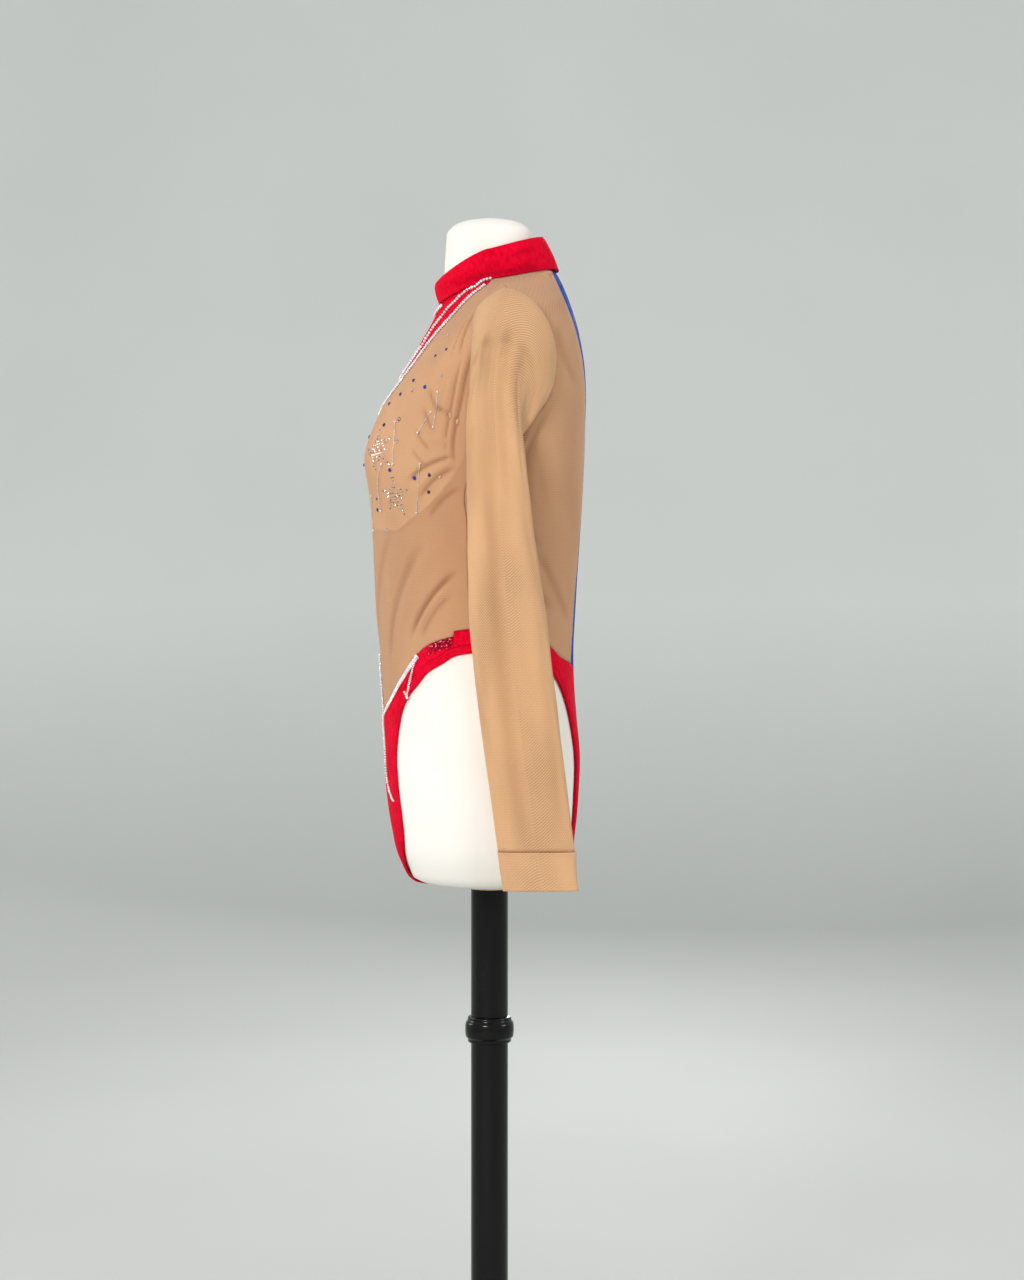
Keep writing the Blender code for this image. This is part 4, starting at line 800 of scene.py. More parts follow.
def blend(tree, share, a, b, kind="MIX"):
    node = tree.nodes.new("ShaderNodeMix")
    node.data_type = "RGBA"
    node.blend_type = kind
    for socket, value in ((node.inputs[0], share), (node.inputs[6], a), (node.inputs[7], b)):
        if isinstance(value, (int, float)):
            socket.default_value = value
        elif isinstance(value, tuple):
            socket.default_value = (*value, 1.0)
        else:
            tree.links.new(value, socket)
    return node.outputs[2]


def shaded(tree, colour, value, *stops):
    """A colour multiplied by a ramp of a value."""
    return blend(tree, 1.0, colour, ramp(tree, value, *stops), "MULTIPLY")


def attribute(tree, name):
    node = tree.nodes.new("ShaderNodeAttribute")
    node.attribute_name = name
    return node.outputs["Fac"]


def bump(tree, principled, height, distance, strength=1.0):
    node = tree.nodes.new("ShaderNodeBump")
    node.inputs["Distance"].default_value = distance
    node.inputs["Strength"].default_value = strength
    tree.links.new(height, node.inputs["Height"])
    tree.links.new(node.outputs[0], principled.inputs["Normal"])


def warped(tree, place, amount, scale):
    """The place moved a little by soft noise, so that a weave wanders."""
    node = tree.nodes.new("ShaderNodeTexNoise")
    node.inputs["Scale"].default_value = scale
    node.inputs["Detail"].default_value = 1.0
    tree.links.new(place, node.inputs["Vector"])
    move = tree.nodes.new("ShaderNodeVectorMath")
    move.operation = "MULTIPLY_ADD"
    tree.links.new(node.outputs["Color"], move.inputs[0])
    move.inputs[1].default_value = (amount, amount, 0.0)
    tree.links.new(place, move.inputs[2])
    return move.outputs[0]


def net_pattern(tree, place, pitch, lean=60.0):
    """Two families of threads that cross, 1 on a thread."""
    one = stripes(tree, place, lean, pitch)
    two = stripes(tree, place, -lean, pitch)
    return math_node(tree, "MAXIMUM", one, two)


def nude_mesh(name, light, dark, twill=0.16):
    """Power net: crossed threads, diagonal twill on the sleeves, lighter where the lining lies behind, with
    painted light above the cup lining and painted shade in its folds.
    """
    material, tree, principled = shader(name, light, 0.75, Sheen_Weight=0.06, Sheen_Roughness=0.5,
                                        Specular_IOR_Level=0.2)
    place = place_node(tree)
    net = net_pattern(tree, place, 0.0013)
    patch = ramp(tree, noise(tree, place, 16.0, 2.0, (1.0, 0.35, 1.0)), (0.35, (0, 0, 0)), (0.65, (1, 1, 1)))
    lines = stripes(tree, warped(tree, place, 0.0020, 9.0), 47.0, 0.0021)
    rows = stripes(tree, warped(tree, place, 0.0012, 20.0), 90.0, 0.0026)
    cloud = noise(tree, place, 7.0, 3.0)
    colour = blend(tree, ramp(tree, net, (0.25, (0, 0, 0)), (0.85, (1, 1, 1))), dark, light)
    share = math_node(tree, "MULTIPLY", lines, patch)
    low = 1 - twill
    colour = shaded(tree, colour, share, (0.15, (1, 1, 1)), (0.85, (low, low, low)))
    colour = shaded(tree, colour, rows, (0.0, (0.94, 0.94, 0.94)), (0.6, (1, 1, 1)))
    colour = shaded(tree, colour, cloud, (0.3, (0.93, 0.91, 0.89)), (0.7, (1, 1, 1)))
    # Lighter where the cup lining lies behind the net, and painted light on the upper front above the lining.
    lining_and_light = attribute(tree, "lining_and_light")
    colour = shaded(tree, colour, lining_and_light, (0.0, (0.90, 0.88, 0.86)), (1.0, (1, 1, 1)))
    # Painted shade in fold troughs and shaded strips; the sleeve's band along its armhole seam is darker too.
    shade_and_seam = attribute(tree, "shade_and_seam")
    colour = shaded(tree, colour, shade_and_seam, (0.0, (1, 1, 1)), (1.0, (0.62, 0.52, 0.46)))
    tree.links.new(colour, principled.inputs["Base Color"])
    bump(tree, principled, math_node(tree, "ADD", net, math_node(tree, "MULTIPLY", lines, 0.8)), 0.0003, 0.6)
    return material


def stretch_velvet(name, bright, deep, nap=260.0):
    """Stretch velvet: fine pile, soft clouds, crushed foil with painted glints where it is marked, and painted
    shade where it is given.
    """
    material, tree, principled = shader(name, bright, 0.62, Specular_IOR_Level=0.02)
    place = place_node(tree)
    pile = noise(tree, place, nap, 3.0, (1.0, 0.6, 1.0))
    cloud = noise(tree, place, 38.0, 2.0)
    rows = stripes(tree, warped(tree, place, 0.0008, 120.0), 0.0, 0.0016)
    mix = math_node(tree, "ADD", math_node(tree, "MULTIPLY", pile, 0.6),
                    math_node(tree, "MULTIPLY", cloud, 0.4))
    colour = ramp(tree, mix, (0.34, deep), (0.60, bright))
    # Foil dots: dark red foil and bright pink spots, the spots being painted glints.
    foil = attribute(tree, "foil")
    dots = noise(tree, place, 420.0, 1.0)
    glint = ramp(tree, dots, (0.50, (0.22, 0.0, 0.01)), (0.60, (0.35, 0.01, 0.03)), (0.70, (0.85, 0.25, 0.3)))
    colour = blend(tree, foil, colour, glint)
    # Painted shade where a piece is given it, such as the collar's hollow.
    shade_and_seam = attribute(tree, "shade_and_seam")
    colour = shaded(tree, colour, shade_and_seam, (0.0, (1, 1, 1)), (1.0, (0.38, 0.38, 0.38)))
    tree.links.new(colour, principled.inputs["Base Color"])
    height = math_node(tree, "ADD", pile, math_node(tree, "MULTIPLY", rows, 0.3))
    bump(tree, principled, height, 0.0006, 0.6)
    return material


def cotton_cover():
    material, tree, principled = shader("form_cover", (0.86, 0.82, 0.75), 0.85, Sheen_Weight=0.15)
    place = place_node(tree, flat=False)
    weave = math_node(tree, "MULTIPLY", stripes(tree, place_node(tree), 0.0, 0.0009),
                      stripes(tree, place_node(tree), 90.0, 0.0009))
    cloud = noise(tree, place, 7.0, 4.0)
    colour = ramp(tree, cloud, (0.32, (0.82, 0.77, 0.69)), (0.62, (0.88, 0.84, 0.78)))
    tree.links.new(colour, principled.inputs["Base Color"])
    bump(tree, principled, weave, 0.00025, 0.5)
    return material


def black_gloss():
    material, tree, principled = shader("black_gloss", (0.003, 0.003, 0.003), 0.14, Specular_IOR_Level=0.22)
    place = place_node(tree, flat=False)
    dust = noise(tree, place, 60.0, 5.0, (1.0, 1.0, 0.15))
    tree.links.new(ramp(tree, dust, (0.45, (0.12, 0.12, 0.12)), (0.75, (0.3, 0.3, 0.3))),
                   principled.inputs["Roughness"])
    bump(tree, principled, noise(tree, place, 220.0, 3.0), 0.0002, 0.15)
    return material


def pale_wood():
    material, tree, principled = shader("plate_wood", (0.66, 0.5, 0.32), 0.55)
    place = place_node(tree, flat=False)
    grain = noise(tree, place, 30.0, 5.0, (1.0, 9.0, 9.0))
    tree.links.new(ramp(tree, grain, (0.35, (0.66, 0.50, 0.31)), (0.65, (0.80, 0.66, 0.46))),
                   principled.inputs["Base Color"])
    bump(tree, principled, grain, 0.0003, 0.4)
    return material


def glass(name, colour, metallic, roughness):
    """Stones: foil-backed cut glass, a little different from place to place."""
    material, tree, principled = shader(name, colour, roughness, Metallic=metallic,
                                        Coat_Weight=1.0, Coat_Roughness=0.02)
    place = place_node(tree, flat=False)
    cloud = noise(tree, place, 900.0, 1.0)
    low = tuple(c * 0.55 for c in colour)
    high = tuple(min(1.0, c * 1.5 + 0.02) for c in colour)
    tree.links.new(ramp(tree, cloud, (0.35, low), (0.65, high)), principled.inputs["Base Color"])
    return material


MESH = nude_mesh("nude_mesh", (0.640, 0.355, 0.195), (0.500, 0.265, 0.135))
MESH_SLEEVE = nude_mesh("nude_mesh_double", (0.720, 0.420, 0.225), (0.560, 0.300, 0.145), twill=0.30)
RED = stretch_velvet("red_cloth", (0.740, 0.002, 0.026), (0.530, 0.0, 0.013))
BLUE = stretch_velvet("blue_cloth", (0.020, 0.080, 0.400), (0.012, 0.050, 0.260))
LINING = nude_mesh("lining", (0.66, 0.44, 0.27), (0.60, 0.40, 0.24))
COVER, GLOSS, WOOD = cotton_cover(), black_gloss(), pale_wood()
PEARL = glass("white_beads", (0.80, 0.76, 0.76), 0.0, 0.25)
ROD = glass("clear_rods", (0.62, 0.56, 0.50), 0.1, 0.15)
BLUE_STONE = glass("blue_stones", (0.012, 0.02, 0.30), 0.55, 0.12)
CLEAR_STONE = glass("clear_stones", (0.62, 0.60, 0.60), 0.8, 0.12)
DARK_STONE = glass("dark_stones", (0.02, 0.015, 0.08), 0.6, 0.15)
THREAD = shader("thread", (0.33, 0.18, 0.09), 0.7)[0]
RED_THREAD = shader("red_thread", (0.33, 0.0, 0.01), 0.7)[0]


# Cloth pieces
SEAM_SINK = 0.0007
SEAM_WIDE = 0.0022


def sunk(places, *lines):
    """The cloth dips into its seams."""
    total = np.zeros(len(places))
    for line in lines:
        near = near_line(places, line, 4 * SEAM_WIDE)
        total = np.maximum(total, np.exp(-(near / SEAM_WIDE) ** 2))
    return -SEAM_SINK * total


def right_shift(side):
    return 0.0 if side == "left" else 0.0045


LINING_EDGE = ((3.0, 1.1200), (20.0, 1.1175), (35.4, 1.1150), (46.7, 1.1155), (52.7, 1.1222),
               (62.6, 1.1330), (71.4, 1.1466), (77.0, 1.1600), (83.0, 1.1800), (80.0, 1.2080),
               (72.0, 1.2380), (63.0, 1.2620), (50.0, 1.2800), (37.0, 1.2800), (25.0, 1.2580),
               (12.0, 1.2400), (3.0, 1.2300), (3.0, 1.1900), (3.0, 1.1500))
lining_outline = smooth_line(LINING_EDGE + LINING_EDGE[:1])[:-1]
lining_low = smooth_line(LINING_EDGE[:9])


def front_height(side):
    seams = [sided(line, side)
             for line in (armhole_front, side_seam, yoke_edge, zigzag_up, zigzag_peak, hip_top)]

    def height(places):
        h = relief(FRONT_FOLDS, places[:, 0], places[:, 1], right_shift(side))
        near = near_line(places, sided(lining_low, side), 0.012)
        h += 0.0006 * np.exp(-(near / 0.0016) ** 2)
        return h + sunk(places, *seams)
    return height


def lining_and_light_mask(side):
    edge = sided(lining_outline, side)

    def mask(places):
        # Inside the lining outline: the lining seen through the net. On the upper front above it, fading away from
        # its edge: painted light.
        near = near_line(places, np.concatenate([edge, edge[:1]]), 0.02)
        within = inside(places, edge)
        above = np.abs(places[:, 0]) < math.radians(75)
        high = (places[:, 1] > 1.15) & above
        soft = np.clip(0.5 + np.where(within, near, -near) / 0.0016, 0, 1)
        return np.maximum(soft, np.where(high & ~within, np.clip(1.0 - near / 0.03, 0.4, 1), 0))
    return mask


def ones(places):
    return np.ones(len(places))


def back_height(side):
    seams = [sided(line, side) for line in (armhole_back, side_seam, blue_edge, brief_top_back)]

    def height(places):
        return relief(BACK_FOLDS, places[:, 0], places[:, 1], right_shift(side)) + sunk(places, *seams)
    return height


RIB_PITCH = 0.0026


def gathers(line, reach, tall, pitch=RIB_PITCH):
    """Small ruches square to a line, uneven in length and depth."""
    q = flat_place(line[:, 0], line[:, 1])
    run = np.concatenate([[0.0], np.cumsum(np.linalg.norm(np.diff(q, axis=0), axis=1))])

    def height(places):
        p = flat_place(places[:, 0], places[:, 1])
        near = np.full(len(p), 9.0)
        at = np.zeros(len(p))
        for k in range(len(q) - 1):
            step = q[k + 1] - q[k]
            w = p - q[k]
            t = np.clip((w @ step) / max(step @ step, 1e-15), 0, 1)
            d = np.linalg.norm(w - t[:, None] * step, axis=1)
            closer = d < near
            near[closer] = d[closer]
            at[closer] = (run[k] + t * (run[k + 1] - run[k]))[closer]
        wander = at + 0.0004 * np.sin(at * 190.0) + 0.0009 * np.sin(at * 71.0 + 1.0)
        size = 0.75 + 0.25 * np.sin(at * 47.0 + 0.6)
        return tall * size * np.sin(FULL_TURN * wander / pitch) * np.clip(1 - near / reach, 0, 1)
    return height


def brief_front_height(places):
    h = sunk(places, *[sided(line, side) for side in SIDES for line in (zigzag_up, zigzag_peak)])
    for side in SIDES:
        h += gathers(BAND[side]["front"], 0.020, 0.0006)(places)
    return h


def hip_height(side):
    ruche = gathers(BAND[side]["hip_zigzag"], 0.024, 0.0007, 0.0058)

    def height(places):
        return ruche(places) + sunk(places, sided(hip_top, side), step_line[side])
    return height


def foil_mask(side):
    top = sided(hip_top, side)

    # Where the hip band has crushed foil, which the red cloth draws with painted glints.
    def mask(places):
        near = near_line(places, top, 0.02)
        fade = np.clip((np.degrees(np.abs(places[:, 0])) - 58.0) / 8.0, 0, 1)
        return fade * np.clip(1.0 - (near - 0.009) / 0.004, 0, 1)
    return mask


def brief_back_height(side):
    edge = BAND[side]["back"]
    ruche = gathers(edge, 0.020, 0.0006)

    def height(places):
        own = places.copy()
        if side == "right":
            own[:, 0] -= FULL_TURN
        return ruche(own) + sunk(own, sided(brief_top_back, side), sided(brief_top_side, side),
                                 step_line[side])
    return height


pieces = {}
pieces["yoke"] = finish_piece(thicken(cloth(
    "yoke_cloth", joined(neck_front, yoke_edge, back(mirror(yoke_edge))), RED,
    lambda p: sunk(p, yoke_edge, mirror(yoke_edge)), [("foil", lambda p: np.zeros(len(p)))])),
    "red_cloth", "yoke_front")
pieces["blue"] = finish_piece(thicken(cloth(
    "blue_back_cloth", joined(neck_back, wrapped(blue_edge), wrapped(brief_top_point),
                              back(brief_top_point), back(blue_edge)), BLUE,
    lambda p: sunk(p, blue_edge, wrapped(blue_edge)), [("foil", lambda p: np.zeros(len(p)))])),
    "blue_cloth", "back_center")
for side in SIDES:
    pieces["front_" + side] = finish_piece(thicken(cloth(
        "front_cloth_" + side, joined(
            sided(shoulder, side), sided(armhole_front, side), sided(side_seam, side),
            sided(back(brief_top_side), side), sided(back(hip_step), side), sided(back(hip_top), side),
            sided(back(zigzag_up), side), sided(back(zigzag_peak), side), sided(back(centre_front), side),
            sided(back(yoke_edge), side)), MESH, front_height(side), [("lining_and_light", lining_and_light_mask(side))],
        0.0021, FRONT_FOLDS, right_shift(side))), "nude_mesh", "front_panel_" + side)
    pieces["back_" + side] = finish_piece(thicken(cloth(
        "back_cloth_" + side, joined(
            sided(shoulder, side), sided(back(armhole_back), side), sided(side_seam, side),
            sided(brief_top_back, side), sided(back(blue_edge), side), sided(back(neck_side), side)),
        MESH, back_height(side), [("lining_and_light", lambda p: 0.5 * ones(p))], 0.0034,
        BACK_FOLDS, right_shift(side))), "nude_mesh", "back_panel_" + side)
    pieces["hip_" + side] = finish_piece(thicken(cloth(
        "hip_cloth_" + side, joined(
            sided(hip_top, side), step_line[side], BAND[side]["hip_zigzag"], back(hip_line[side])),
        RED, hip_height(side), [("foil", foil_mask(side))], 0.0018)), "red_cloth", "hip_band_" + side)
pieces["brief_front"] = finish_piece(thicken(cloth(
    "brief_front_cloth", joined(
        zigzag_peak, zigzag_up, hip_line["left"], BAND["left"]["front"], front_low,
        back(BAND["right"]["front"]), back(hip_line["right"]), back(mirror(zigzag_up)),
        back(mirror(zigzag_peak))), RED, brief_front_height, [("foil", lambda p: np.zeros(len(p)))], 0.0010)),
    "red_cloth", "brief_center")
pieces["brief_back_left"] = finish_piece(thicken(cloth(
    "brief_back_cloth_left", joined(
        hip_step, brief_top_side, brief_top_back, brief_top_point, centre_back,
        back(back_low_left), BAND["left"]["back"], BAND["left"]["side_hip"], back(step_line["left"])),
    RED, brief_back_height("left"), [("foil", lambda p: np.zeros(len(p)))], 0.0030)),
    "red_cloth", "brief_back_left")
right_edges = [BAND["right"]["back"], BAND["right"]["side_hip"], back(step_line["right"])]
pieces["brief_back_right"] = finish_piece(thicken(cloth(
    "brief_back_cloth_right", joined(
        wrapped(hip_step), wrapped(brief_top_side), wrapped(brief_top_back), wrapped(brief_top_point),
        centre_back, back_low_right, *[line + (FULL_TURN, 0.0) for line in right_edges]),
    RED, brief_back_height("right"), [("foil", lambda p: np.zeros(len(p)))], 0.0030)),
    "red_cloth", "brief_back_right")


# Strap and leg bindings
def strap():
    left, right = LEG["left"], LEG["right"]
    columns = 14
    share = np.linspace(0, 1, columns + 1)[:, None]
    start = body(*front_low.T)
    knots = np.linspace(0, 1, len(start))
    first = np.stack([np.interp(share[:, 0], knots, start[:, k]) for k in range(3)], axis=1)
    low = np.concatenate([back_low_left, back_low_right[1:]])
    end = body(*low.T)
    run = np.concatenate([[0.0], np.cumsum(np.linalg.norm(np.diff(end, axis=0), axis=1))])
    last = np.stack([np.interp(share[:, 0] * run[-1], run, end[:, k]) for k in range(3)], axis=1)
    rows = [first]
    for k in range(left["below"][0], left["below"][1]):
        m = right["below"][0] + k - left["below"][0]
        a = left["points"][k] + left["moves"][k] * BAND_WIDE
        b = right["points"][m] + right["moves"][m] * BAND_WIDE
        rows.append(a + (b - a) * share)
    rows.append(last)
    rings = np.array(rows)
    steps = np.linalg.norm(np.diff(rings[:, columns // 2], axis=0), axis=1)
    length = np.concatenate([[0.0], np.cumsum(steps)])
    uv = np.zeros((len(rows), columns + 1, 2))
    uv[..., 0] = share[:, 0] * 0.06
    uv[..., 1] = length[:, None]
    thing = grid_piece("gusset_cloth", rings[:, ::-1], RED, uv[:, ::-1], closed=False,
                       attributes=[("foil", np.zeros(rings.shape[0] * rings.shape[1]))])
    return finish_piece(thicken(thing), "red_cloth", "gusset")


pieces["gusset"] = strap()


def swept(centres, across, up, section, closed=True):
    """A small section carried along a line."""
    section = np.asarray(section)
    rings = centres[:, None] + across[:, None] * section[None, :, :1] + up[:, None] * section[None, :, 1:]
    if closed:
        rings = np.concatenate([rings, rings[:1]])
    run = np.concatenate([[0.0], np.cumsum(np.linalg.norm(np.diff(rings[:, 0], axis=0), axis=1))])
    around = np.concatenate([section, section[:1]])
    girth = np.concatenate([[0.0], np.cumsum(np.linalg.norm(np.diff(around, axis=0), axis=1))])
    uv = np.stack(np.broadcast_arrays(girth[None, :], run[:, None]), axis=-1)
    return rings, uv


def rounded(half_wide, low, high, count=16):
    """Closed section of a soft roll."""
    turn = np.linspace(0, FULL_TURN, count, endpoint=False)
    wide = half_wide * np.sign(np.cos(turn)) * np.abs(np.cos(turn)) ** 0.7
    tall = (high + low) / 2 + (high - low) / 2 * np.sign(np.sin(turn)) * np.abs(np.sin(turn)) ** 0.8
    return np.stack([wide, tall], axis=1)


def leg_band(side):
    loop = LEG[side]
    directions = unit(loop["moves"])
    points = loop["points"]
    run = np.concatenate([[0.0], np.cumsum(np.linalg.norm(np.diff(points, axis=0), axis=1))])
    wave = 0.00025 * np.sin(run * 880.0 + 0.8 * np.sin(run * 60.0)) + 0.00018 * np.sin(run * 330.0)
    centres = points + directions * (BAND_WIDE / 2) + loop["normals"] * wave[:, None]
    section = rounded(BAND_WIDE / 2 - 0.0001, -0.0021, 0.0012, 40)
    groove = np.exp(-((section[:, 0] - BAND_WIDE * 0.10) / 0.0007) ** 2)
    section[:, 1] -= np.where(section[:, 1] > 0, 0.0009 * groove, 0.0)
    if side == "right":
        section = section[::-1]
    rings, uv = swept(centres, directions, loop["normals"], section)
    thing = grid_piece("leg_band_cloth_" + side, rings, RED, uv,
                       attributes=[("foil", np.zeros(rings.shape[0] * rings.shape[1]))])
    return finish_piece(thing, "red_cloth", "leg_band_" + side)


for side in SIDES:
    pieces["band_" + side] = leg_band(side)


# Sleeves
GATHER_COLUMNS = ("phase_deg", "top", "bottom", "lean_deg", "width_deg", "height")
GATHERS = (
    (48.0, 4.2, 8.0, 6.0, 9.0, 0.0020),
    (26.0, 4.0, 7.2, 3.0, 7.0, -0.0022),
    (10.0, 4.1, 8.6, 2.0, 8.0, 0.0018),
    (-6.0, 4.0, 6.8, -2.0, 6.0, -0.0020),
    (-20.0, 4.2, 7.6, -4.0, 8.0, 0.0016),
    (-38.0, 4.3, 9.5, -8.0, 9.0, -0.0018),
    (62.0, 5.0, 12.0, -6.0, 12.0, -0.0010),
    (-58.0, 5.5, 13.0, 4.0, 12.0, 0.0012),
    (20.0, 9.0, 16.5, -14.0, 12.0, 0.0012),
    (-24.0, 10.0, 16.5, 10.0, 12.0, 0.0010),
    (200.0, 4.0, 12.0, 10.0, 16.0, 0.0014),
    (165.0, 5.0, 14.0, -8.0, 14.0, -0.0014),
    (225.0, 6.0, 16.0, 6.0, 14.0, -0.0012),
    (140.0, 7.0, 16.0, 6.0, 14.0, 0.0010),
)
# long shaded strips: phase, width in degrees, first and last row, depth of shade
SLEEVE_SHADES = ((16.0, 13.0, 8.0, 17.5, 0.42), (-10.0, 10.0, 5.0, 10.0, 0.30), (-46.0, 14.0, 8.0, 17.0, 0.16),
                 (196.0, 16.0, 6.0, 16.0, 0.30), (160.0, 12.0, 9.0, 17.0, 0.25))
CREASE_ROW, CREASE_WIDE, CREASE_DEEP = 4.75, 0.22, 0.0010


def sleeve_points(rows, start_places, at, phases):
    """Rings of a sleeve at row numbers, from the armhole out."""
    rows = np.array(rows)
    if start_places is not None:
        edge_row = rows[0].copy()
        edge_row[SLEEVE_COLUMNS.index("free")] = 0.0
        edge = body(start_places[:, 0], start_places[:, 1])
        edge_row[0] = edge[0, 0]
        rows = np.concatenate([[edge_row], rows])
        normals = body_normal(start_places[:, 0], start_places[:, 1])
        moves = edge_moves(edge, normals, -1.0)
        toward = edge.mean(axis=0) - edge
        moves = moves * np.sign((moves * toward).sum(axis=1))[:, None]
        edge = edge + moves * SEAM_HALF
    knots = np.arange(len(rows))
    size = {name: hermite(knots, rows[:, i], at)[:, None] for i, name in enumerate(SLEEVE_COLUMNS)}
    c, s = np.cos(phases)[None, :], np.sin(phases)[None, :]
    power = 2.0 / SLEEVE_ROUND
    out = 0.5 + 0.5 * np.sign(c) * np.abs(c) ** power
    swing = np.sign(s) * np.abs(s) ** power
    middle = 0.5 * (size["front_y"] + size["back_y"])
    y = middle - swing * 0.5 * (size["back_y"] - size["front_y"])
    x = size["inner_x"] + (size["outer_x"] - size["inner_x"]) * out
    z = size["inner_z"] + (size["outer_z"] - size["inner_z"]) * out
    x = x - np.where(c > 0, size["valley"] * np.exp(-((y - middle) / VALLEY_WIDE) ** 2), 0.0)
    rings = np.stack(np.broadcast_arrays(x, y, z), axis=-1)
    if start_places is not None:
        shift = size["outer_x"] - rows[0][0]
        near = (np.degrees(phases) - LOW_BACK_PHASE) / LOW_BACK_WIDE
        reach = shift * (1.0 - LOW_BACK_HELD * np.exp(-near * near))[None, :]
        held = edge[None, :, :] + np.stack([reach, np.zeros_like(reach), np.zeros_like(reach)], axis=-1)
        free = np.clip(size["free"], 0, 1)[..., None]
        rings = np.where(free < 1, held * (1 - free) + rings * free, rings)
    return rings


def ring_normals(rings):
    around = np.roll(rings, -1, axis=1) - np.roll(rings, 1, axis=1)
    along = np.gradient(rings, axis=0)
    return unit(np.cross(along, around))


def sleeve(side, sign):
    phases = np.linspace(0, FULL_TURN, AROUND_SLEEVE, endpoint=False)
    at = np.concatenate([np.linspace(0, 4, 44, endpoint=False), np.linspace(4, 8, 56, endpoint=False),
                         np.linspace(8, 17, 110)])
    start = armhole_places(np.degrees(phases))
    rings = sleeve_points(SLEEVE, start, at, phases)
    normals = ring_normals(rings)
    degrees = np.degrees(phases)
    degrees = np.where(degrees > 250, degrees - 360, degrees)[None, :]
    tall = np.zeros(rings.shape[:2])
    other = 0.0 if side == "left" else 5.0
    for row in GATHERS:
        g = dict(zip(GATHER_COLUMNS, row))
        t = (at - g["top"]) / (g["bottom"] - g["top"])
        fade = np.clip(np.minimum(t * 4.0, (1 - t) * 2.0), 0, 1)
        fade = (fade * fade * (3 - 2 * fade))[:, None]
        aside = degrees - (g["phase_deg"] + other + g["lean_deg"] * t)[:, None]
        tall += g["height"] * fade * np.exp(-(aside / g["width_deg"]) ** 2)
    crease = np.exp(-((at[:, None] - CREASE_ROW - 0.10 * np.cos(phases * 3.0)[None, :]) / CREASE_WIDE) ** 2)
    tall -= CREASE_DEEP * crease * np.clip((np.cos(phases) + 0.1) * 1.4, 0, 1)[None, :] ** 0.7
    seam = np.clip(1 - at / 0.35, 0, 1)[:, None]
    tall -= SEAM_SINK * 1.4 * seam ** 2
    small = (0.00035 * np.sin(phases * 11 + at[:, None] * 1.3) * np.sin(at[:, None] * 2.1 + phases * 3)
             + 0.0003 * np.sin(phases * 5 - at[:, None] * 0.9))
    tall += small * np.clip((at[:, None] - 4) / 2, 0, 1)
    rings = rings + normals * tall[..., None]
    # Painted shade: darker in the troughs of the gathers and in the long shaded strips; a darker band runs along
    # the armhole seam.
    shade_and_seam = np.clip(-tall / (3.2 * FOLD_DARKEST), 0, 0.6)
    shade_and_seam = np.maximum(shade_and_seam, 0.40 * np.clip(1 - (at[:, None] / 0.55) ** 2, 0, 1) ** 0.5)
    for phase_deg, wide_deg, top, bottom, dark in SLEEVE_SHADES:
        along = np.clip(np.minimum(at - top, bottom - at) / 1.5, 0, 1)[:, None]
        shade_and_seam = np.maximum(shade_and_seam, dark * along * np.exp(-((degrees - phase_deg) / wide_deg) ** 2))
    length = np.concatenate([[0.0], np.cumsum(np.linalg.norm(np.diff(rings[:, 0], axis=0), axis=1))])
    girth = np.linspace(0, 0.22, AROUND_SLEEVE + 1)
    uv = np.stack(np.broadcast_arrays(girth[None, :], -length[:, None]), axis=-1)
    rings = rings * (sign, 1, 1)
    if sign < 0:
        rings, uv, shade_and_seam = rings[:, ::-1], uv[:, ::-1], shade_and_seam[:, ::-1]
    thing = grid_piece("sleeve_cloth_" + side, rings, MESH_SLEEVE, uv, attributes=[
        ("lining_and_light", np.ones(shade_and_seam.size)), ("shade_and_seam", shade_and_seam.ravel())])
    return finish_piece(thicken(thing), "nude_mesh", "sleeve_" + side)


def cuff(side, sign):
    phases = np.linspace(0, FULL_TURN, AROUND_SLEEVE, endpoint=False)
    at = np.linspace(0, 2, 22)
    rings = sleeve_points(CUFF, None, at, phases)
    normals = ring_normals(rings)
    edge = np.minimum(at, 2 - at)[:, None]
    tall = 0.0003 * np.sin(phases * 9 + at[:, None] * 2)[...] - 0.0005 * np.exp(-(edge / 0.12) ** 2)
    rings = (rings + normals * tall[..., None]) * (sign, 1, 1)
    length = np.concatenate([[0.0], np.cumsum(np.linalg.norm(np.diff(rings[:, 0], axis=0), axis=1))])
    girth = np.linspace(0, 0.18, AROUND_SLEEVE + 1)
    uv = np.stack(np.broadcast_arrays(girth[None, :], -length[:, None]), axis=-1)
    if sign < 0:
        rings, uv = rings[:, ::-1], uv[:, ::-1]
    thing = grid_piece("cuff_cloth_" + side, rings, MESH_SLEEVE, uv,
                       attributes=[("lining_and_light", np.ones(rings.shape[0] * rings.shape[1]))])
    return finish_piece(thicken(thing, 0.0012), "nude_mesh", "cuff_" + side)


for side, sign in SIDES.items():
    pieces["sleeve_" + side] = sleeve(side, sign)
    pieces["cuff_" + side] = cuff(side, sign)


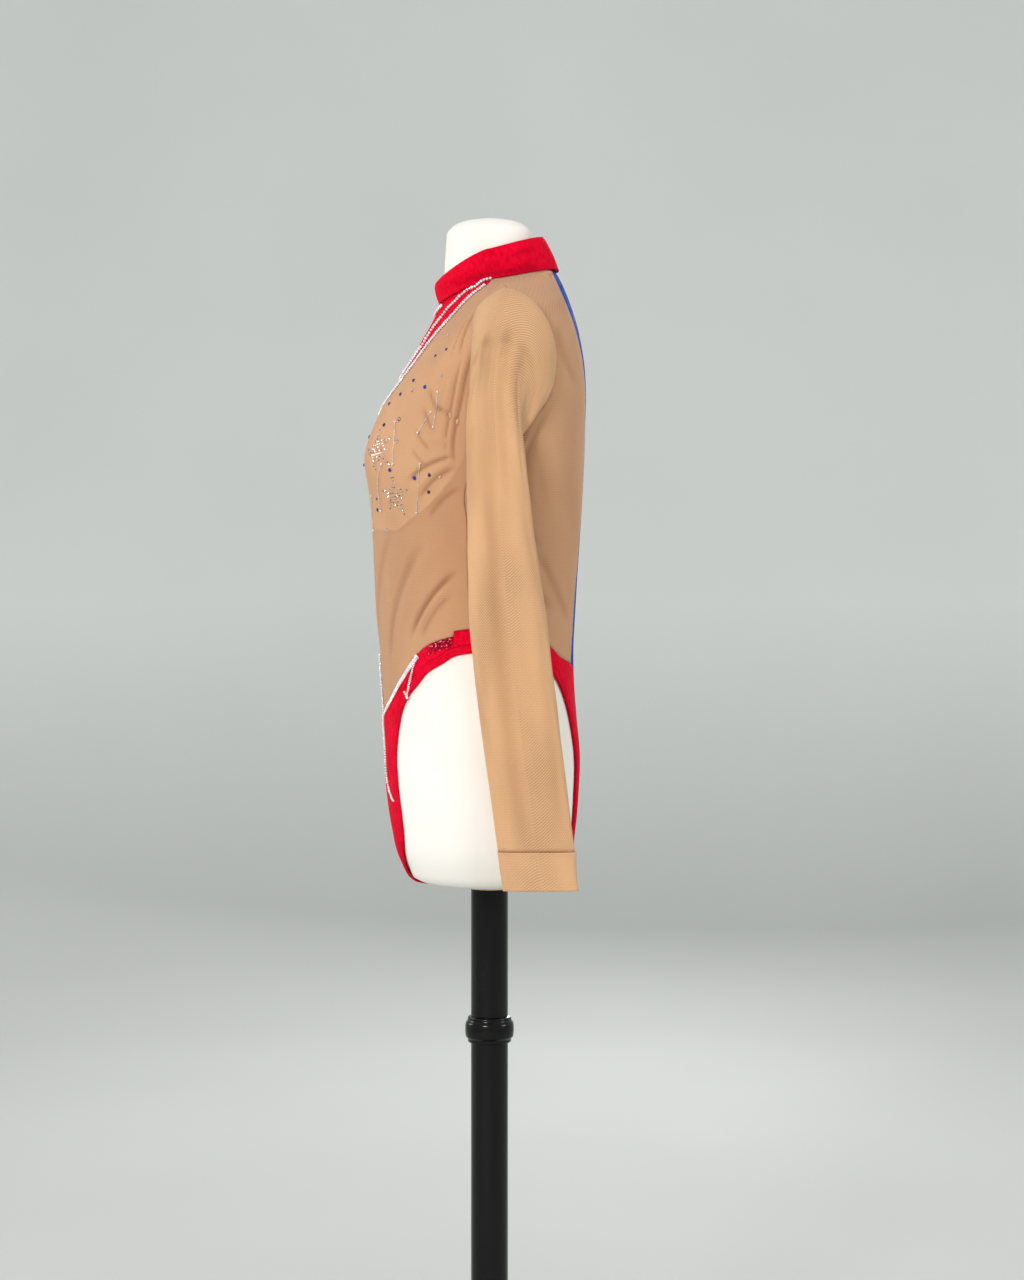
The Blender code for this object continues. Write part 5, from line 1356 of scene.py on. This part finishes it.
# Collar
def collar():
    reach = math.radians(180.0 + COLLAR_LAP_DEG)
    turn = np.linspace(-reach, reach, 181)
    h = np.linspace(0, 1, 25)
    lift = np.clip((np.degrees(turn) - 135.0) / 35.0, 0, 1)
    lift = lift * lift * (3 - 2 * lift) * COLLAR_LAP_STEP
    low = body(turn, NECK_LEVEL)
    s, c = np.sin(turn), np.cos(turn)
    end_y = np.where(c >= 0, COLLAR_TOP_FRONT_Y, COLLAR_TOP_BACK_Y)
    end_z = np.where(c >= 0, COLLAR_TOP_FRONT_Z, COLLAR_TOP_BACK_Z)
    high = np.stack([COLLAR_TOP_SIDE_X * s, COLLAR_TOP_SIDE_Y + (end_y - COLLAR_TOP_SIDE_Y) * np.abs(c),
                     COLLAR_TOP_SIDE_Z + (end_z - COLLAR_TOP_SIDE_Z) * np.abs(c) ** 1.2], axis=1)
    out = np.stack([s, -c, np.zeros_like(s)], axis=1)
    rise = unit(high - low)
    flat = unit(out - rise * (out * rise).sum(axis=1)[:, None])
    low = low + rise * 0.0003
    rings = low[:, None] + (high - low)[:, None] * h[None, :, None]
    side_deg = np.abs(np.degrees(turn))
    hollow = np.clip((side_deg - 30) / 60, 0, 1) * np.clip((165 - side_deg) / 40, 0, 1)
    bulge = 0.0008 * np.sin(math.pi * h)[None, :] + lift[:, None]
    bulge = bulge - 0.0022 * hollow[:, None] * np.exp(-((h[None, :] - 0.26) / 0.16) ** 2)
    bulge = bulge + 0.0012 * hollow[:, None] * np.exp(-((h[None, :] - 0.62) / 0.20) ** 2)
    bulge = bulge + 0.0005 * np.sin(turn * 4.0 + 1.0)[:, None] * np.sin(math.pi * h)[None, :]
    bulge = bulge - 0.0006 * np.exp(-((1 - h[None, :]) / 0.05) ** 2)
    # Painted shade: a darker crescent low in the collar's hollow and a darker streak across its side.
    crescent = hollow[:, None] * np.exp(-((h[None, :] - 0.16 - 0.10 * np.cos(turn)[:, None]) / 0.17) ** 2)
    streak = (np.exp(-((side_deg - 118.0) / 16.0) ** 2)[:, None]
              * np.exp(-((h[None, :] - 0.62 - 0.004 * (side_deg - 118.0)[:, None]) / 0.07) ** 2))
    shade_and_seam = np.clip(0.62 * crescent + 0.45 * streak, 0, 1)
    rings = rings + flat[:, None] * bulge[..., None]
    length = np.concatenate([[0.0], np.cumsum(np.linalg.norm(np.diff(rings[:, 7], axis=0), axis=1))])
    uv = np.stack(np.broadcast_arrays(length[:, None], h[None, :] * 0.035), axis=-1)
    thing = grid_piece("collar_cloth", rings[::-1], RED, uv[::-1], closed=False,
                       attributes=[("foil", np.zeros(shade_and_seam.size)), ("shade_and_seam", shade_and_seam[::-1].ravel())])
    return finish_piece(thicken(thing, 0.0014), "red_cloth", "collar")


pieces["collar"] = collar()


# Lining behind the bust
def lining(side):
    thing = cloth("cup_lining_cloth_" + side, sided(lining_outline, side), LINING,
                  lambda p: -0.0018 + 0 * p[:, 0], [("lining_and_light", ones)], 0.006)
    return finish_piece(thicken(thing, 0.0008), "lining", "cup_lining_" + side)


for side in SIDES:
    pieces["lining_" + side] = lining(side)


# Dress form and stand
def stacked_piece(name, rings, low, high, material, around_length):
    """Closed solid from a stack of rings with a middle point at either end."""
    rings = np.asarray(rings)
    count, around = rings.shape[:2]
    points = np.concatenate([rings.reshape(-1, 3), [low, high]])
    faces = []
    for r in range(count - 1):
        for i in range(around):
            k = (i + 1) % around
            faces.append((r * around + i, r * around + k, (r + 1) * around + k, (r + 1) * around + i))
    for i in range(around):
        k = (i + 1) % around
        faces.append((k, i, count * around))
        faces.append(((count - 1) * around + i, (count - 1) * around + k, count * around + 1))
    thing = new_piece(name, points, faces, material)
    layer = thing.data.uv_layers.new(name="cloth")
    values = []
    for face in thing.data.polygons:
        angles = [i % around if i < count * around else 0 for i in face.vertices]
        wraps = max(angles) - min(angles) > around / 2
        for i, a in zip(face.vertices, angles):
            a = a + around if wraps and a < around / 2 else a
            values += [a / around * around_length, points[i][2]]
    layer.data.foreach_set("uv", np.asarray(values, np.float32))
    return thing


def form():
    count = 160
    angles = np.linspace(0, FULL_TURN, count, endpoint=False)
    levels = np.concatenate([np.linspace(LOW_LEVEL, NECK_LEVEL, 130)])
    p = body(angles[None, :], levels[:, None])
    n = body_normal(angles[None, :], levels[:, None])
    slack = BUST_SLACK * np.exp(-((np.abs(p[..., 0]) - BUST_X) / 0.085) ** 2
                                - ((p[..., 2] - BUST_Z) / 0.085) ** 2)
    slack = np.where(p[..., 1] < 0, slack, 0.0)
    seams = np.zeros(p.shape[:2])
    for seam_deg in (0.0, 42.0, 88.0, 140.0, 180.0, 220.0, 272.0, 318.0):
        aside = (np.degrees(angles)[None, :] - seam_deg + 180) % 360 - 180
        seams = np.maximum(seams, np.exp(-(aside / 0.9) ** 2))
    clear = hermite([row[0] for row in FORM_CLEAR], [row[1] for row in FORM_CLEAR], levels)[:, None]
    shell = p - n * (clear + slack + 0.0004 * seams)[..., None]
    rings = []
    for scale, z in FORM_FLOOR[::-1]:
        floor = shell[0] * (scale, scale, 0)
        floor[:, 2] = z
        rings.append(floor)
    rings += list(shell)
    knots = np.arange(len(NECK))
    fine = np.linspace(0, len(NECK) - 1, 31)
    columns = [hermite(knots, [row[k] for row in NECK], fine) for k in range(4)]
    c = np.cos(angles)
    for radius, front_z, side_z, back_z in zip(*columns):
        end = np.where(c >= 0, front_z, back_z)
        rings.append(np.stack([radius * np.sin(angles), -radius * c,
                               side_z + (end - side_z) * np.abs(c) ** 1.2], axis=1))
    thing = stacked_piece("dress_form_cover", rings, (0, 0, 0.7405), (0, 0, 1.4536), COVER, 0.80)
    return finish_piece(thing, "form_cover", "dress_form")


pieces["form"] = form()


def turned(name, profile, material, node, around=96):
    """A piece turned about the pole from (radius, height) rows, top first."""
    profile = np.array(profile)[::-1]
    turn = np.linspace(0, FULL_TURN, around, endpoint=False)
    rings = [np.stack([r * np.cos(turn), r * np.sin(turn), np.full(around, z)], axis=1) for r, z in profile]
    thing = stacked_piece(name, rings, (0, 0, profile[0][1]), (0, 0, profile[-1][1]), material, 0.126)
    thing.data.set_sharp_from_angle(angle=math.radians(35))
    return finish_piece(thing, "black_gloss" if material is GLOSS else "plate_wood", node)


def bevelled(radius, top, low, edge=0.0012):
    return ((radius - edge, top), (radius - edge * 0.3, top - edge * 0.3), (radius, top - edge),
            (radius, low + edge), (radius - edge * 0.3, low + edge * 0.3), (radius - edge, low))


def rounded_profile(profile, count=5):
    """The same profile as a smooth line, its corners kept soft."""
    rows = np.array(profile)
    run = np.concatenate([[0.0], np.cumsum(np.linalg.norm(np.diff(rows, axis=0), axis=1))])
    at = np.linspace(0, run[-1], count * (len(rows) - 1) + 1)
    return np.stack([hermite(run, rows[:, k], at) for k in range(2)], axis=1)


turned("base_plate_wood", bevelled(0.0215, 0.7402, 0.7318, 0.0008), WOOD, "form_base_plate")
turned("pole_upper_gloss", ((0.0200, 0.7315), (0.0200, 0.5948)), GLOSS, "pole_upper")
turned("pole_ring_gloss", rounded_profile(RING_PROFILE), GLOSS, "pole_ring")
turned("pole_lower_gloss", ((0.0200, 0.5657), (0.0200, 0.0303)), GLOSS, "pole_lower")
turned("stand_base_gloss", BASE_PROFILE, GLOSS, "stand_base", 160)


# Beads, as rows of small balls along lines on the body
def ball(around=8, rings=5):
    points, faces = [(0.0, 0.0, -1.0)], []
    for r in range(1, rings):
        tilt = math.pi * r / rings
        for i in range(around):
            a = FULL_TURN * i / around
            points.append((math.sin(tilt) * math.cos(a), math.sin(tilt) * math.sin(a), -math.cos(tilt)))
    points.append((0.0, 0.0, 1.0))
    top = len(points) - 1
    for i in range(around):
        k = (i + 1) % around
        faces.append((0, 1 + k, 1 + i))
        for r in range(rings - 2):
            a, b = 1 + r * around, 1 + (r + 1) * around
            faces.append((a + i, a + k, b + k, b + i))
        faces.append((1 + (rings - 2) * around + i, 1 + (rings - 2) * around + k, top))
    return points, faces


BALL = ball()
rng = np.random.default_rng(11)
bead_places, bead_sizes = [], []
BEAD = 0.00145           # radius of a bead


across_places, across_aside, across_sizes = [], [], []


def across_row(places, half_wide, inward=1.0, radius=0.00100):
    """Long beads side by side across a line: half their length is given at even steps along it."""
    line = even_line(places, radius * 2.05)
    points = body(line[:, 0], line[:, 1])
    normals = body_normal(line[:, 0], line[:, 1])
    along = unit(np.gradient(points, axis=0))
    aside = unit(np.cross(normals, along))
    share = np.linspace(0, 1, len(line))
    half = np.interp(share, np.linspace(0, 1, len(half_wide)), half_wide) * rng.uniform(0.94, 1.05, len(line))
    across_places.append(shifted(line, aside * half[:, None] * inward))
    across_aside.append(aside)
    across_sizes.append(np.stack([np.full(len(line), radius), half, np.full(len(line), radius)], axis=1))


def bead_row(places, rows=1, radius=BEAD, taper=None):
    """Beads along a line of places, in several rows side by side, for both sides of the body."""
    line = even_line(places, radius * 1.92)
    points = body(line[:, 0], line[:, 1])
    normals = body_normal(line[:, 0], line[:, 1])
    along = unit(np.gradient(points, axis=0))
    aside = unit(np.cross(normals, along))
    share = np.linspace(0, 1, len(line))
    for r in range(rows):
        keep = np.ones(len(line), bool)
        if taper is not None:
            keep = share <= taper[r]
        offset = (r - (rows - 1) / 2) * radius * 1.8
        moved = shifted(line, aside * offset)[keep]
        moved = moved + rng.normal(0, 0.00012, moved.shape) * (4.0, 1.0)
        bead_places.append(moved)
        bead_sizes.append(np.full(len(moved), radius) * rng.uniform(0.86, 1.08, len(moved)))


HIP_ROW_INWARD = 0.9
# Rows seen in the photograph, as pixels (px, py) from the neck down
ROW_NECK = ((488.8, 278.0), (482.5, 282.0), (475.0, 287.5), (468.8, 290.0), (462.5, 295.0), (455.0, 302.5),
            (447.5, 310.0), (441.0, 318.8), (432.5, 330.0), (425.0, 342.5), (417.5, 353.8))
ROW_FRONT = ((24.0, 1.3540), (15.0, 1.3530), (0.0, 1.3500))
ROW_INNER = ((442.0, 305.6), (438.8, 310.0), (433.8, 317.5))
HIP_DROP = ((416.5, 656.0), (411.5, 676.0), (407.0, 699.0))
STRIP_ROW = ((384.5, 716.0), (386.0, 745.0), (388.0, 780.0), (391.0, 793.0), (395.0, 802.0))
TAIL = ((405.5, 692.0), (409.0, 700.0))


def degrees_line(rows):
    return np.array([(math.radians(a), l) for a, l in rows])


neck_row = seen_at(ROW_NECK)
neck_row[:, 0] = np.minimum.accumulate(neck_row[:, 0])
neck_row = np.concatenate([neck_row[:-1], degrees_line(((14.0, 1.2900), (6.0, 1.2830), (0.0, 1.2790)))])
bead_row(neck_row, 1, 0.0018)
inner_row = np.concatenate([seen_at(ROW_INNER)[:2], degrees_line(ROW_FRONT)])
bead_row(inner_row)
bead_row(yoke_edge[6:], 2)
bead_row(np.concatenate([zigzag_peak]), 1)
across_row(back(zigzag_up), (0.0036, 0.0034, 0.0030, 0.0024, 0.0016), HIP_ROW_INWARD)
across_row(seen_at(HIP_DROP), (0.0026, 0.0016, 0.0014, 0.0022, 0.0020, 0.0010), 0.0)
bead_row(seen_at(TAIL), 1)
bead_row(seen_at(STRIP_ROW), 1)


def bead_piece():
    places, sizes = np.concatenate(bead_places), np.concatenate(bead_sizes)
    places = np.concatenate([places, mirror(places)])
    sizes = np.concatenate([sizes, sizes])
    out = body_normal(places[:, 0], places[:, 1])
    points = body(places[:, 0], places[:, 1]) + out * (sizes * 0.75)[:, None]
    turn = rng.uniform(0, FULL_TURN, len(places))
    thing = copies("bead_rows", *BALL, points, axes_on(places, turn), sizes, PEARL)
    finish_piece(thing)
    places, sizes = np.concatenate(across_places), np.concatenate(across_sizes)
    aside = np.concatenate(across_aside)
    places = np.concatenate([places, mirror(places)])
    aside = np.concatenate([aside, aside * (-1, 1, 1)])
    sizes = np.concatenate([sizes, sizes])
    out = body_normal(places[:, 0], places[:, 1])
    points = body(places[:, 0], places[:, 1]) + out * (sizes[:, 2] * 0.8)[:, None]
    axes = np.stack([unit(np.cross(aside, out)), aside, out], axis=1)
    return finish_piece(copies("hip_bead_rows", *BALL, points, axes, sizes, PEARL))


# Stones
def cut_stone(facets=8):
    """A round brilliant with a flat back: table, crown and girdle."""
    points = [(0.0, 0.0, 0.62)]
    for radius, height, shift in ((0.52, 0.62, 0.0), (0.86, 0.34, 0.5), (1.0, 0.12, 0.0), (0.94, 0.0, 0.0)):
        for i in range(facets):
            a = FULL_TURN * (i + shift) / facets
            points.append((radius * math.cos(a), radius * math.sin(a), height))
    faces = []
    for i in range(facets):
        k = (i + 1) % facets
        a, b, c, d = 1, 1 + facets, 1 + 2 * facets, 1 + 3 * facets
        faces.append((0, a + i, a + k))
        faces.append((a + i, b + i, a + k))
        faces.append((b + i, b + k, a + k))
        faces.append((b + i, c + i, c + k))
        faces.append((b + i, c + k, b + k))
        faces.append((c + i, d + i, d + k, c + k))
    return points, faces


STONE = cut_stone()
STONE_COLUMNS = ("px", "py", "kind", "radius")
STONES = (
    (446.6, 349.6, "dark", 0.0019), (435.5, 356.0, "dark", 0.0019), (413.8, 380.5, "dark", 0.0020),
    (425.0, 387.0, "blue", 0.0022), (400.7, 394.3, "dark", 0.0020), (389.5, 403.8, "blue", 0.0020),
    (399.3, 419.3, "dark", 0.0022), (384.3, 425.0, "dark", 0.0022), (370.0, 437.0, "dark", 0.0021),
    (390.0, 470.0, "blue", 0.0022), (364.5, 465.0, "blue", 0.0021), (414.5, 478.0, "blue", 0.0023),
    (429.6, 475.0, "dark", 0.0023), (428.8, 492.0, "dark", 0.0019), (377.9, 509.8, "blue", 0.0021),
    (377.0, 498.8, "dark", 0.0014),
    (448.4, 335.4, "clear", 0.0016), (441.0, 376.0, "clear", 0.0018), (412.3, 390.7, "clear", 0.0016),
    (397.0, 441.0, "clear", 0.0020), (440.0, 477.0, "clear", 0.0017), (386.8, 529.5, "clear", 0.0018),
)
STAR_COLUMNS = ("px", "py", "radius", "turn_deg")
STARS = ((395.0, 496.0, 0.0225, -6.0), (377.5, 451.0, 0.0240, 12.0))
STAR_STONE, STAR_PITCH = 0.00086, 0.0037


def star_places(px, py, radius, turn_deg):
    """Places of small stones that fill a five-pointed star."""
    corners = []
    for k in range(10):
        reach = radius if k % 2 == 0 else radius * 0.42
        angle = math.radians(90 + turn_deg + 36 * k)
        corners.append((reach * math.cos(angle), reach * math.sin(angle)))
    corners = np.array(corners)
    j, i = np.meshgrid(np.arange(-9, 10), np.arange(-9, 10))
    grid = np.stack([(i + 0.5 * (j % 2)).ravel() * STAR_PITCH, j.ravel() * STAR_PITCH * 0.87], axis=1)
    grid = grid + rng.normal(0, 0.00035, grid.shape)
    grid = grid[inside(grid, corners * 1.06)]
    centre = seen_at([(px, py)])
    around = np.repeat(centre, len(grid), axis=0)
    axes = axes_on(around)
    return shifted(around, axes[:, 0] * grid[:, :1] + axes[:, 1] * grid[:, 1:])


def stone_pieces():
    kinds = {"blue": ([], []), "dark": ([], []), "clear": ([], [])}
    found = seen_at([row[:2] for row in STONES])
    for place, row in zip(found, STONES):
        kinds[row[2]][0].append(place)
        kinds[row[2]][1].append(row[3])
    for px, py, radius, turn_deg in STARS:
        for n, place in enumerate(star_places(px, py, radius, turn_deg)):
            # Every third star stone is a dark one: painted dark reflection, for foil-backed stones that look half
            # dark and half bright.
            kind = "dark" if n % 3 == 0 else "clear"
            kinds[kind][0].append(place)
            kinds[kind][1].append(STAR_STONE * (0.9 + 0.25 * (n % 3) / 2))
    for kind, material in (("blue", BLUE_STONE), ("dark", DARK_STONE), ("clear", CLEAR_STONE)):
        places, sizes = np.array(kinds[kind][0]), np.array(kinds[kind][1])
        places, sizes = np.concatenate([places, mirror(places)]), np.concatenate([sizes, sizes])
        points = body(places[:, 0], places[:, 1]) + body_normal(places[:, 0], places[:, 1]) * 0.0003
        thing = copies(kind + "_stones", *STONE, points, axes_on(places, rng.uniform(0, 1, len(places))), sizes,
                       material, smooth=False)
        finish_piece(thing)


# Strands: thin rods with a small bead at each end, hung on the front
STRANDS = (
    ((395.7, 422.0), (394.5, 443.0), (393.2, 464.8)),
    ((382.0, 464.0), (378.4, 485.0), (379.5, 498.0), (381.4, 511.0)),
    ((420.4, 464.0), (418.6, 485.0), (416.8, 514.0)),
    ((437.9, 391.6), (437.0, 405.0), (435.5, 415.7), (433.2, 429.0)),
    ((431.0, 412.0), (424.0, 423.0), (417.7, 433.6)),
    ((372.0, 496.0), (372.8, 514.0), (374.2, 531.0)),
)
STRAND_RADIUS, STRAND_OUT = 0.00038, 0.0010


def strand_piece():
    rods, end_places = [], []
    for side in SIDES.values():
        for pixels in STRANDS:
            places = even_line(seen_at(pixels), 0.0016) * (side, 1)
            points = body(places[:, 0], places[:, 1]) + body_normal(places[:, 0], places[:, 1]) * STRAND_OUT
            rods.append(points)
            end_places += [places[0], places[-1]]
    points, faces, total = [], [], 0
    sides = 6
    for line in rods:
        along = unit(np.gradient(line, axis=0))
        first = unit(np.cross(along, (0.3, 0.9, 0.1)))
        second = np.cross(along, first)
        segment = 0.85 + 0.15 * np.cos(np.arange(len(line)) * math.pi)
        for i in range(sides):
            a = FULL_TURN * i / sides
            points.append(line + (first * math.cos(a) + second * math.sin(a)) * (STRAND_RADIUS * segment)[:, None])
        n = len(line)
        for i in range(sides):
            k = (i + 1) % sides
            for r in range(n - 1):
                faces.append((total + i * n + r, total + k * n + r, total + k * n + r + 1, total + i * n + r + 1))
        faces.append([total + i * n for i in range(sides)][::-1])
        faces.append([total + i * n + n - 1 for i in range(sides)])
        total += sides * n
    thing = new_piece("strands", np.concatenate(points), faces, ROD)
    finish_piece(thing)
    ends = np.array(end_places)
    points = body(ends[:, 0], ends[:, 1]) + body_normal(ends[:, 0], ends[:, 1]) * 0.0011
    finish_piece(copies("strand_ends", *BALL, points, axes_on(ends), np.full(len(ends), 0.0012), PEARL))


bead_piece()
stone_pieces()
strand_piece()


# The flat size and area of each cloth, worked out but not kept
LEAST_FILL = 0.32          # a piece that fills less of its box gets a narrower box
CLOSED_RIM = 0.25          # a rim shorter than this share of the way round is a closed roll


def declare(thing, held, *rests_on):
    """Work out a cloth's flat size, which is not kept. The area is the finished mesh's own, not a separate
    pattern's.
    A closed roll counts half of the way round. A piece that fills too little of its flat box
    takes the box of its spread in space, narrowed until it fills LEAST_FILL of it."""
    mesh = thing.data
    layer = mesh.uv_layers["cloth"]
    uv = np.zeros(len(mesh.loops) * 2, np.float32)
    layer.data.foreach_get("uv", uv)
    uv = uv.reshape(-1, 2)
    wide, tall = (uv.max(axis=0) - uv.min(axis=0)).tolist()
    areas = np.zeros(len(mesh.polygons), np.float32)
    mesh.polygons.foreach_get("area", areas)
    area = float(areas.sum())
    faces_an_edge = np.zeros(len(mesh.edges), int)
    edges = np.zeros(len(mesh.loops), np.int32)
    mesh.loops.foreach_get("edge_index", edges)
    np.add.at(faces_an_edge, edges, 1)
    corners = np.zeros(len(mesh.vertices) * 3, np.float32)
    mesh.vertices.foreach_get("co", corners)
    corners = corners.reshape(-1, 3)
    ends = np.zeros(len(mesh.edges) * 2, np.int32)
    mesh.edges.foreach_get("vertices", ends)
    rim = corners[ends.reshape(-1, 2)[faces_an_edge == 1]]
    if np.linalg.norm(rim[:, 0] - rim[:, 1], axis=1).sum() < CLOSED_RIM * 2 * (wide + tall):
        area, wide = area / 2, wide / 2
    if area < LEAST_FILL * wide * tall:
        places = corners - corners.mean(axis=0)
        spread = places @ np.linalg.svd(places, full_matrices=False)[2].T
        tall, wide = np.ptp(spread, axis=0)[:2].tolist()
        wide = min(wide, area / (LEAST_FILL * tall))
    grow = max(1.0, (area / (wide * tall)) ** 0.5)
    flat = (round(wide * grow, 4), round(tall * grow, 4))
    stated = round(min(area, flat[0] * flat[1]), 6)


FORM_NODE = "dress_form"
for key in ("yoke", "blue", "brief_front", "brief_back_left", "brief_back_right", "gusset"):
    declare(pieces[key], "stretched", FORM_NODE)
declare(pieces["collar"], "stretched", "yoke_front", "back_center")
for side in SIDES:
    for key in ("front_", "back_", "hip_", "band_", "lining_"):
        declare(pieces[key + side], "stretched", FORM_NODE)
    declare(pieces["sleeve_" + side], "hung", "front_panel_" + side, "back_panel_" + side)
    declare(pieces["cuff_" + side], "hung", "sleeve_" + side)


# Stitches: short threads that lie on the cloth
def stitch_shape():
    section = [(math.cos(a), math.sin(a)) for a in np.linspace(0, FULL_TURN, 5, endpoint=False)]
    stations = ((-1.0, -0.6, 0.4), (-0.6, 0.4, 1.0), (0.0, 0.7, 1.0), (0.6, 0.4, 1.0), (1.0, -0.6, 0.4))
    points = [(x, s[0] * w * 0.16, z * 0.16 + s[1] * w * 0.16) for x, z, w in stations for s in section]
    faces = []
    for r in range(4):
        for i in range(5):
            k = (i + 1) % 5
            faces.append((r * 5 + i, r * 5 + k, (r + 1) * 5 + k, (r + 1) * 5 + i))
    faces.append((4, 3, 2, 1, 0))
    faces.append((20, 21, 22, 23, 24))
    return points, faces


STITCH = stitch_shape()


def stitches_along(points, normals, pitch, length):
    """Places and axes of stitches along a line of points."""
    run = np.concatenate([[0.0], np.cumsum(np.linalg.norm(np.diff(points, axis=0), axis=1))])
    at = np.arange(pitch / 2, run[-1], pitch)
    place = np.stack([np.interp(at, run, points[:, k]) for k in range(3)], axis=1)
    ahead = np.stack([np.interp(at + 1e-4, run, points[:, k]) for k in range(3)], axis=1)
    behind = np.stack([np.interp(at - 1e-4, run, points[:, k]) for k in range(3)], axis=1)
    normal = unit(np.stack([np.interp(at, run, normals[:, k]) for k in range(3)], axis=1))
    along = unit(ahead - behind)
    aside = unit(np.cross(normal, along))
    return place, np.stack([along, aside, np.cross(along, aside)], axis=1), np.full(len(at), length / 2)


def stitch_piece(name, runs, material, slot):
    place, axes, sizes = (np.concatenate(parts) for parts in zip(*runs))
    return finish_piece(copies(name, *STITCH, place, axes, sizes, material), slot)


def offset_line(line, distance):
    """A seam line moved aside in the surface."""
    points, normals = body(line[:, 0], line[:, 1]), body_normal(line[:, 0], line[:, 1])
    along = unit(np.gradient(points, axis=0))
    return shifted(line, unit(np.cross(normals, along)) * distance)


def body_stitches(line, lift=0.0001, pitch=0.0030, length=0.0022):
    points, normals = body(line[:, 0], line[:, 1]), body_normal(line[:, 0], line[:, 1])
    return stitches_along(points + normals * lift, normals, pitch, length)


cuff_runs = []
for sign in SIDES.values():
    phases = np.linspace(0, FULL_TURN, 240)
    rings = sleeve_points(SLEEVE, None, np.array([15.80, 15.93, 16.0]), phases) * (sign, 1, 1)
    outward = np.stack([sign * np.cos(phases), -np.sin(phases), 0 * phases], axis=1)
    for ring in rings[:2]:
        cuff_runs.append(stitches_along(ring + outward * 0.0004, outward, 0.0034, 0.0024))
stitch_piece("cuff_stitches", cuff_runs, THREAD, "nude_mesh")

seam_runs = []
for side in SIDES:
    for line in (offset_line(armhole_front, 0.0022), offset_line(armhole_back, 0.0022)):
        seam_runs.append(body_stitches(sided(line, side), -0.0002, 0.0028, 0.0020))
    seam_runs.append(body_stitches(sided(offset_line(side_seam, 0.0016), side), -0.0002))
stitch_piece("seam_stitches", seam_runs, THREAD, "nude_mesh")

band_runs = []
for side in SIDES:
    loop = LEG[side]
    for share in (0.22, 0.80):
        line = loop["points"] + unit(loop["moves"]) * (BAND_WIDE * share) + loop["normals"] * 0.0010
        band_runs.append(stitches_along(np.concatenate([line, line[:1]]),
                                        np.concatenate([loop["normals"], loop["normals"][:1]]), 0.0032, 0.0022))
stitch_piece("band_stitches", band_runs, RED_THREAD, "red_cloth")


# Floor, light and camera
def stage():
    material, tree, principled = shader("studio", (0.56, 0.57, 0.55), 0.9)
    cloud = noise(tree, place_node(tree, flat=False), 0.8, 2.0)
    split = tree.nodes.new("ShaderNodeSeparateXYZ")
    tree.links.new(place_node(tree, flat=False), split.inputs[0])
    height = math_node(tree, "MULTIPLY", split.outputs["Z"], 0.4)
    # Darker on the floor and lighter up the wall: painted shade that evens out the light falling on the floor.
    floor_shade = ramp(tree, height, (0.0, (0.50, 0.51, 0.49)), (0.45, (0.80, 0.81, 0.79)))
    soft = ramp(tree, cloud, (0.3, (0.95, 0.95, 0.95)), (0.7, (1, 1, 1)))
    tree.links.new(blend(tree, 1.0, floor_shade, soft, "MULTIPLY"), principled.inputs["Base Color"])
    radius, corner, tall = 6.4, 3.6, 6.0
    profile = [(0.0, 0.0), (radius - corner, 0.0)]
    for k in range(1, 13):
        a = math.pi / 2 * k / 12
        profile.append((radius - corner + corner * math.sin(a), corner - corner * math.cos(a)))
    profile.append((radius, tall))
    around = 96
    points, faces = [(0.0, 0.0, 0.0)], []
    for r, z in profile[1:]:
        for i in range(around):
            a = FULL_TURN * i / around
            points.append((r * math.cos(a), r * math.sin(a), z))
    for i in range(around):
        k = (i + 1) % around
        faces.append((0, 1 + i, 1 + k))
        for r in range(len(profile) - 2):
            a, b = 1 + r * around, 1 + (r + 1) * around
            faces.append((a + i, b + i, b + k, a + k))
    floor = new_piece("studio_floor", points, faces, material)


def area_light(name, place, target, size, power):
    data = bpy.data.lights.new(name, "AREA")
    data.size, data.energy, data.shape = size, power, "DISK"
    lamp = bpy.data.objects.new(name, data)
    lamp.location = place
    lamp.rotation_mode = "QUATERNION"
    lamp.rotation_quaternion = (Vector(target) - Vector(place)).to_track_quat("-Z", "Y")
    bpy.context.scene.collection.objects.link(lamp)


def lights():
    world = bpy.data.worlds.new("studio_light")
    world.use_nodes = True
    world.node_tree.nodes["Background"].inputs["Color"].default_value = (0.95, 0.98, 1.0, 1.0)
    world.node_tree.nodes["Background"].inputs["Strength"].default_value = 0.66
    bpy.context.scene.world = world
    area_light("key", (3.3, -1.3, 2.0), (0, 0, 1.0), 0.8, 90)
    area_light("fill_front", (-1.2, -3.6, 2.0), (0, 0, 1.0), 1.6, 46)
    area_light("fill_far", (-3.4, 0.4, 2.0), (0, 0, 1.0), 1.6, 49)
    area_light("fill_back", (0.9, 3.6, 2.0), (0, 0, 1.0), 1.6, 50)


def camera():
    data = bpy.data.cameras.new("photo_camera")
    data.sensor_width = SENSOR_MM
    data.lens = FOCAL_PIXELS * SENSOR_MM / PHOTO_TALL
    data.clip_end = 50
    thing = bpy.data.objects.new("photo_camera", data)
    thing.location = CAMERA
    thing.rotation_euler = (math.pi / 2, 0, math.pi / 2)
    bpy.context.scene.collection.objects.link(thing)
    bpy.context.scene.camera = thing


stage()
lights()
camera()
bpy.context.scene.view_settings.view_transform = "Standard"
